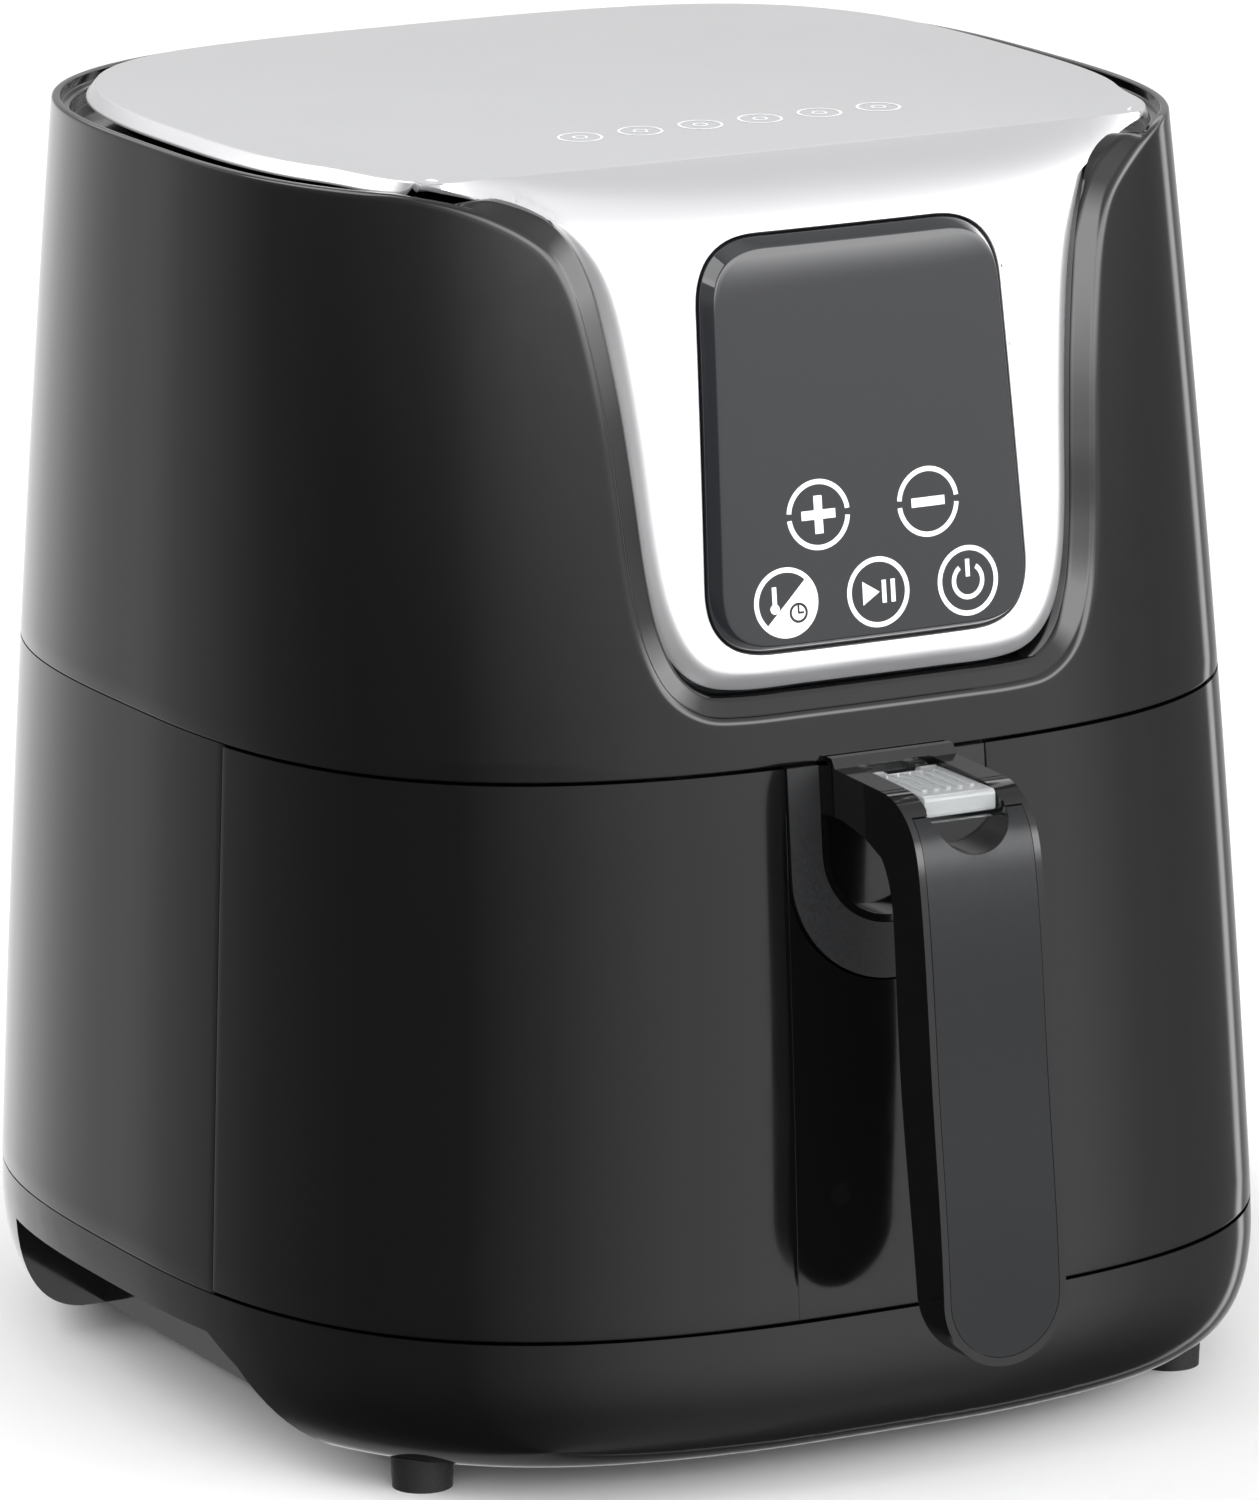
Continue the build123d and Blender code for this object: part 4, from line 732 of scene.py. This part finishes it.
def window_loop(gap, count=220):
    """The window's outline, a trapezium with round corners, grown by the gap, as points on the fascia."""
    (xt, zt), (xl, zl) = GLASS_TOP, GLASS_LOW
    xt, zt, xl, zl = xt + gap, zt + gap, xl + gap, zl - gap
    corners = np.array([(xt, zt), (xl, zl), (-xl, zl), (-xt, zt)])
    r = (GLASS_R + gap) * 1.35
    ring = np.vstack([corners, corners[:1], corners[1:2]])
    parts = []
    t = np.linspace(0, 1, 14)[:, None]
    for k in range(1, 5):
        c = ring[k]
        a = c + (ring[k - 1] - c) / np.linalg.norm(ring[k - 1] - c) * r
        b = c + (ring[k + 1] - c) / np.linalg.norm(ring[k + 1] - c) * r
        bulge = (1 - t) ** 2 * a + 2 * t * (1 - t) * c + t ** 2 * b
        parts.append(bulge)
    line = np.vstack([*parts, parts[0][:1]])
    even = evened(line, 0.1)
    length = np.concatenate([[0], np.cumsum(np.linalg.norm(np.diff(even, axis=0), axis=1))])
    at = np.linspace(0, length[-1], count, endpoint=False)
    x, z = (np.interp(at, length, even[:, k]) for k in range(2))
    return np.stack([x, fascia_y(x, z), z], -1)


class FRYER_OT_window(bpy.types.Operator):
    """Makes the smoked window and the symbols printed on it"""
    bl_idname = "fryer.window"
    bl_label = "Window"

    def execute(self, context):
        loop = window_loop(0.0, 240)
        flat = np.stack([loop[:, 0], loop[:, 2]], -1)
        along = tangents(flat, closed=True)
        out = np.stack([along[:, 1], -along[:, 0]], -1)
        out *= np.sign(np.sum(out * (flat - (0, 243)), -1))[:, None]
        corners = [(-3.2, -GLASS_RISE), (-GLASS_SLOPE, -GLASS_RISE), (0, 0), (0, GLASS_BACK)]
        profile = rounded(corners, [0.35, 0.3], 4)
        x = flat[None, :, 0] + profile[:, :1] * out[:, 0]
        z = flat[None, :, 1] + profile[:, :1] * out[:, 1]
        edge = np.stack([x, fascia_y(x, z) + profile[:, 1:], z], -1)
        face = self.disc(np.stack([x[0], z[0]], -1), -GLASS_RISE)
        back = self.disc(flat, GLASS_BACK)
        grids = [(edge, True), (face, True), (back, True)]
        shifted = [(g + (0, MID_Y, 0), r) for g, r in grids]
        make_piece("smoked_window", shifted, FINISH["smoked_glass"], "housing",
                   ["control_glass"])
        self.symbols(context.scene.fryer_sizes.key / 2)
        return {"FINISHED"}

    def disc(self, flat, depth):
        """Straight lines from the outline to a short spine, laid on the fascia's form at a depth."""
        spine = np.stack([0 * flat[:, 0], np.clip(flat[:, 1], 225, 262)], -1)
        grid = between(flat, spine, 22)
        return np.stack([grid[..., 0], fascia_y(grid[..., 0], grid[..., 1]) + depth, grid[..., 1]], -1)

    def symbols(self, r):
        shapes = []
        (px, pz), (mx, mz), (tx, tz), (gx, gz), (ox, oz) = KEYS
        w = 1.15
        for cx, cz in ((px, pz), (mx, mz)):
            for start in (6, 186):
                shapes.append(arc_band(cx, cz, r - w, r, start, start + 168))
        shapes += [bar(px, pz, 8.6, 2.1), bar(px, pz, 2.1, 8.6), bar(mx, mz, 8.6, 2.1)]
        for cx, cz in ((tx, tz), (gx, gz), (ox, oz)):
            shapes.append(arc_band(cx, cz, r - w, r, 0, 360))
        shapes.append(arc_band(tx, tz, 0.01, r - w, -135, 45))
        shapes.append(arc_band(tx - 2.9, tz - 1.2, 0.01, 1.15, 0, 360))
        shapes.append(bar(tx - 2.9, tz + 1.6, 1.1, 4.4))
        shapes.append(triangle(gx - 4.0, gz, 4.3, 5.4))
        shapes += [bar(gx + 1.5, gz, 1.1, 5.2), bar(gx + 3.8, gz, 1.1, 5.2)]
        shapes.append(arc_band(ox, oz, 3.2, 4.3, 125, 415))
        shapes.append(bar(ox, oz + 2.9, 1.1, 4.0))
        grids = [(printed(s, -GLASS_RISE - INK), False) for s in shapes]
        make_piece("window_symbols", grids, FINISH["print"], "housing", sharp=60.0)
        rings = []
        for middle in np.arange(-2.5, 3) * LID_RINGS_STEP:
            rings += [arc_band(middle, LID_RINGS_Y, 4.7, 5.25, 0, 360)]
            rings += [arc_band(middle, LID_RINGS_Y, 1.3, 1.8, 0, 360)]
        plans = [(g[..., 0], g[..., 1]) for g in rings]
        lid = [(np.stack([x, MID_Y + y, crest(x, y) + INK], -1), False) for x, y in plans]
        make_piece("lid_symbols", lid, FINISH["print"], "housing", sharp=60.0)
        dark = [arc_band(tx + 2.9, tz - 2.5, 1.7, 2.3, 0, 360), bar(tx + 2.9, tz - 1.6, 0.5, 1.9),
                bar(tx + 3.5, tz - 2.5, 1.5, 0.5)]
        grids = [(printed(s, -GLASS_RISE - 2 * INK), False) for s in dark]
        make_piece("window_timer_mark", grids, FINISH["smoked_glass"], "housing", sharp=60.0)


def arc_band(cx, cz, r0, r1, start, end):
    """A band between two radii and two angles in degrees, as a grid in the front view."""
    t = np.radians(np.linspace(start, end, max(8, int(abs(end - start) / 6))))
    r = np.linspace(r0, r1, 3)[:, None]
    return np.stack([cx + r * np.cos(t), cz + r * np.sin(t)], -1)


def bar(cx, cz, wide, high):
    """A rectangle about its middle, as a grid in the front view."""
    x = cx + np.linspace(-0.5, 0.5, 5) * wide
    z = cz + np.linspace(-0.5, 0.5, 5)[:, None] * high
    return np.stack(np.broadcast_arrays(x, z), -1)


def triangle(cx, cz, wide, high):
    """A triangle that points to +x: a grid whose height falls to nothing."""
    s = np.linspace(0, 1, 6)
    z = cz + np.linspace(-0.5, 0.5, 5)[:, None] * high * (1 - s * 0.999)
    return np.stack(np.broadcast_arrays(cx + s * wide, z), -1)


def printed(flat, depth):
    """A flat shape laid on the window, a fraction of a millimetre proud of it."""
    x, z = flat[..., 0], flat[..., 1]
    return np.stack([x, MID_Y + fascia_y(x, z) + depth, z], -1)


def side_bearing(y):
    """Bearing at which the casing's side has this y, half way up the drawer."""
    u = np.linspace(0, np.pi * BEARING_R, 4000)
    return np.interp(y + MID_Y, casing(u, DRAWER_MIDDLE + 0 * u)[:, 1], u)


class FRYER_OT_drawer_front(bpy.types.Operator):
    """Makes the glossy drawer front with its U-shaped cut-out"""
    bl_idname = "fryer.drawer_front"
    bl_label = "Drawer front"

    def execute(self, context):
        edge = context.scene.fryer_sizes.edge
        gap = PLATE_HALF + 0.5
        end = side_bearing(FRONT_REAR)
        cut = bearing(gap + edge, 150.0)
        wide = np.concatenate([np.linspace(end, cut + 1, 90), [cut]])
        notch_z = PLATE_LOW - 0.5 + gap
        side = skin_shell(wide, FRONT_LOW, FRONT_HIGH, edge, notch_z)
        t = np.linspace(np.pi / 2, -np.pi / 2, 81)
        x = (gap + edge) * np.sin(t)
        u = bearing(x, 130.0)
        foot = notch_z - gap * np.cos(t)
        middle = skin_shell(u, FRONT_LOW, foot, edge, foot - edge, closed=False)
        grids = [(side, False), (side * (-1, 1, 1), False), (middle, False)]
        make_piece("drawer_shell", grids, FINISH["gloss_black"], "drawer", ["drawer_front"])
        return {"FINISHED"}


class FRYER_OT_lower_housing(bpy.types.Operator):
    """Makes the glossy lower casing round the sides and the back"""
    bl_idname = "fryer.lower_housing"
    bl_label = "Lower housing"

    def execute(self, context):
        edge = context.scene.fryer_sizes.edge
        start = side_bearing(SIDE_SEAM)
        wide = np.linspace(start, 2 * np.pi * BEARING_R - start, 260)
        shell = skin_shell(wide, SEAM_LOW, LOWER_HIGH, edge, SEAM_LOW + 64)
        make_piece("lower_casing", [(shell, False)], FINISH["gloss_black"], "housing",
                   ["lower_housing"])
        return {"FINISHED"}


class FRYER_PT_pieces(bpy.types.Panel):
    """Lists the appliance's pieces"""
    bl_idname = "FRYER_PT_pieces"
    bl_label = "Air fryer"
    bl_space_type = "VIEW_3D"
    bl_region_type = "UI"
    bl_category = "Air fryer"

    def draw(self, context):
        for group in (context.scene.fryer_sizes, context.scene.fryer_colours):
            for key in group.__annotations__:
                self.layout.prop(group, key)
        for operator in OPERATORS:
            self.layout.operator(operator.bl_idname)


OPERATORS = (FRYER_OT_stage, FRYER_OT_upper_housing, FRYER_OT_top_panel, FRYER_OT_window,
             FRYER_OT_drawer_front, FRYER_OT_lower_housing)
CLASSES = (FryerSizes, FryerColours, *OPERATORS, FRYER_PT_pieces)


def register():
    for cls in CLASSES:
        bpy.utils.register_class(cls)
    bpy.types.Scene.fryer_sizes = bpy.props.PointerProperty(type=FryerSizes)
    bpy.types.Scene.fryer_colours = bpy.props.PointerProperty(type=FryerColours)


def unregister():
    del bpy.types.Scene.fryer_sizes
    del bpy.types.Scene.fryer_colours
    for cls in reversed(CLASSES):
        bpy.utils.unregister_class(cls)


def main():
    register()
    for operator in OPERATORS:
        group, name = operator.bl_idname.split(".")
        getattr(getattr(bpy.ops, group), name)()


if __name__ == "__main__":
    main()
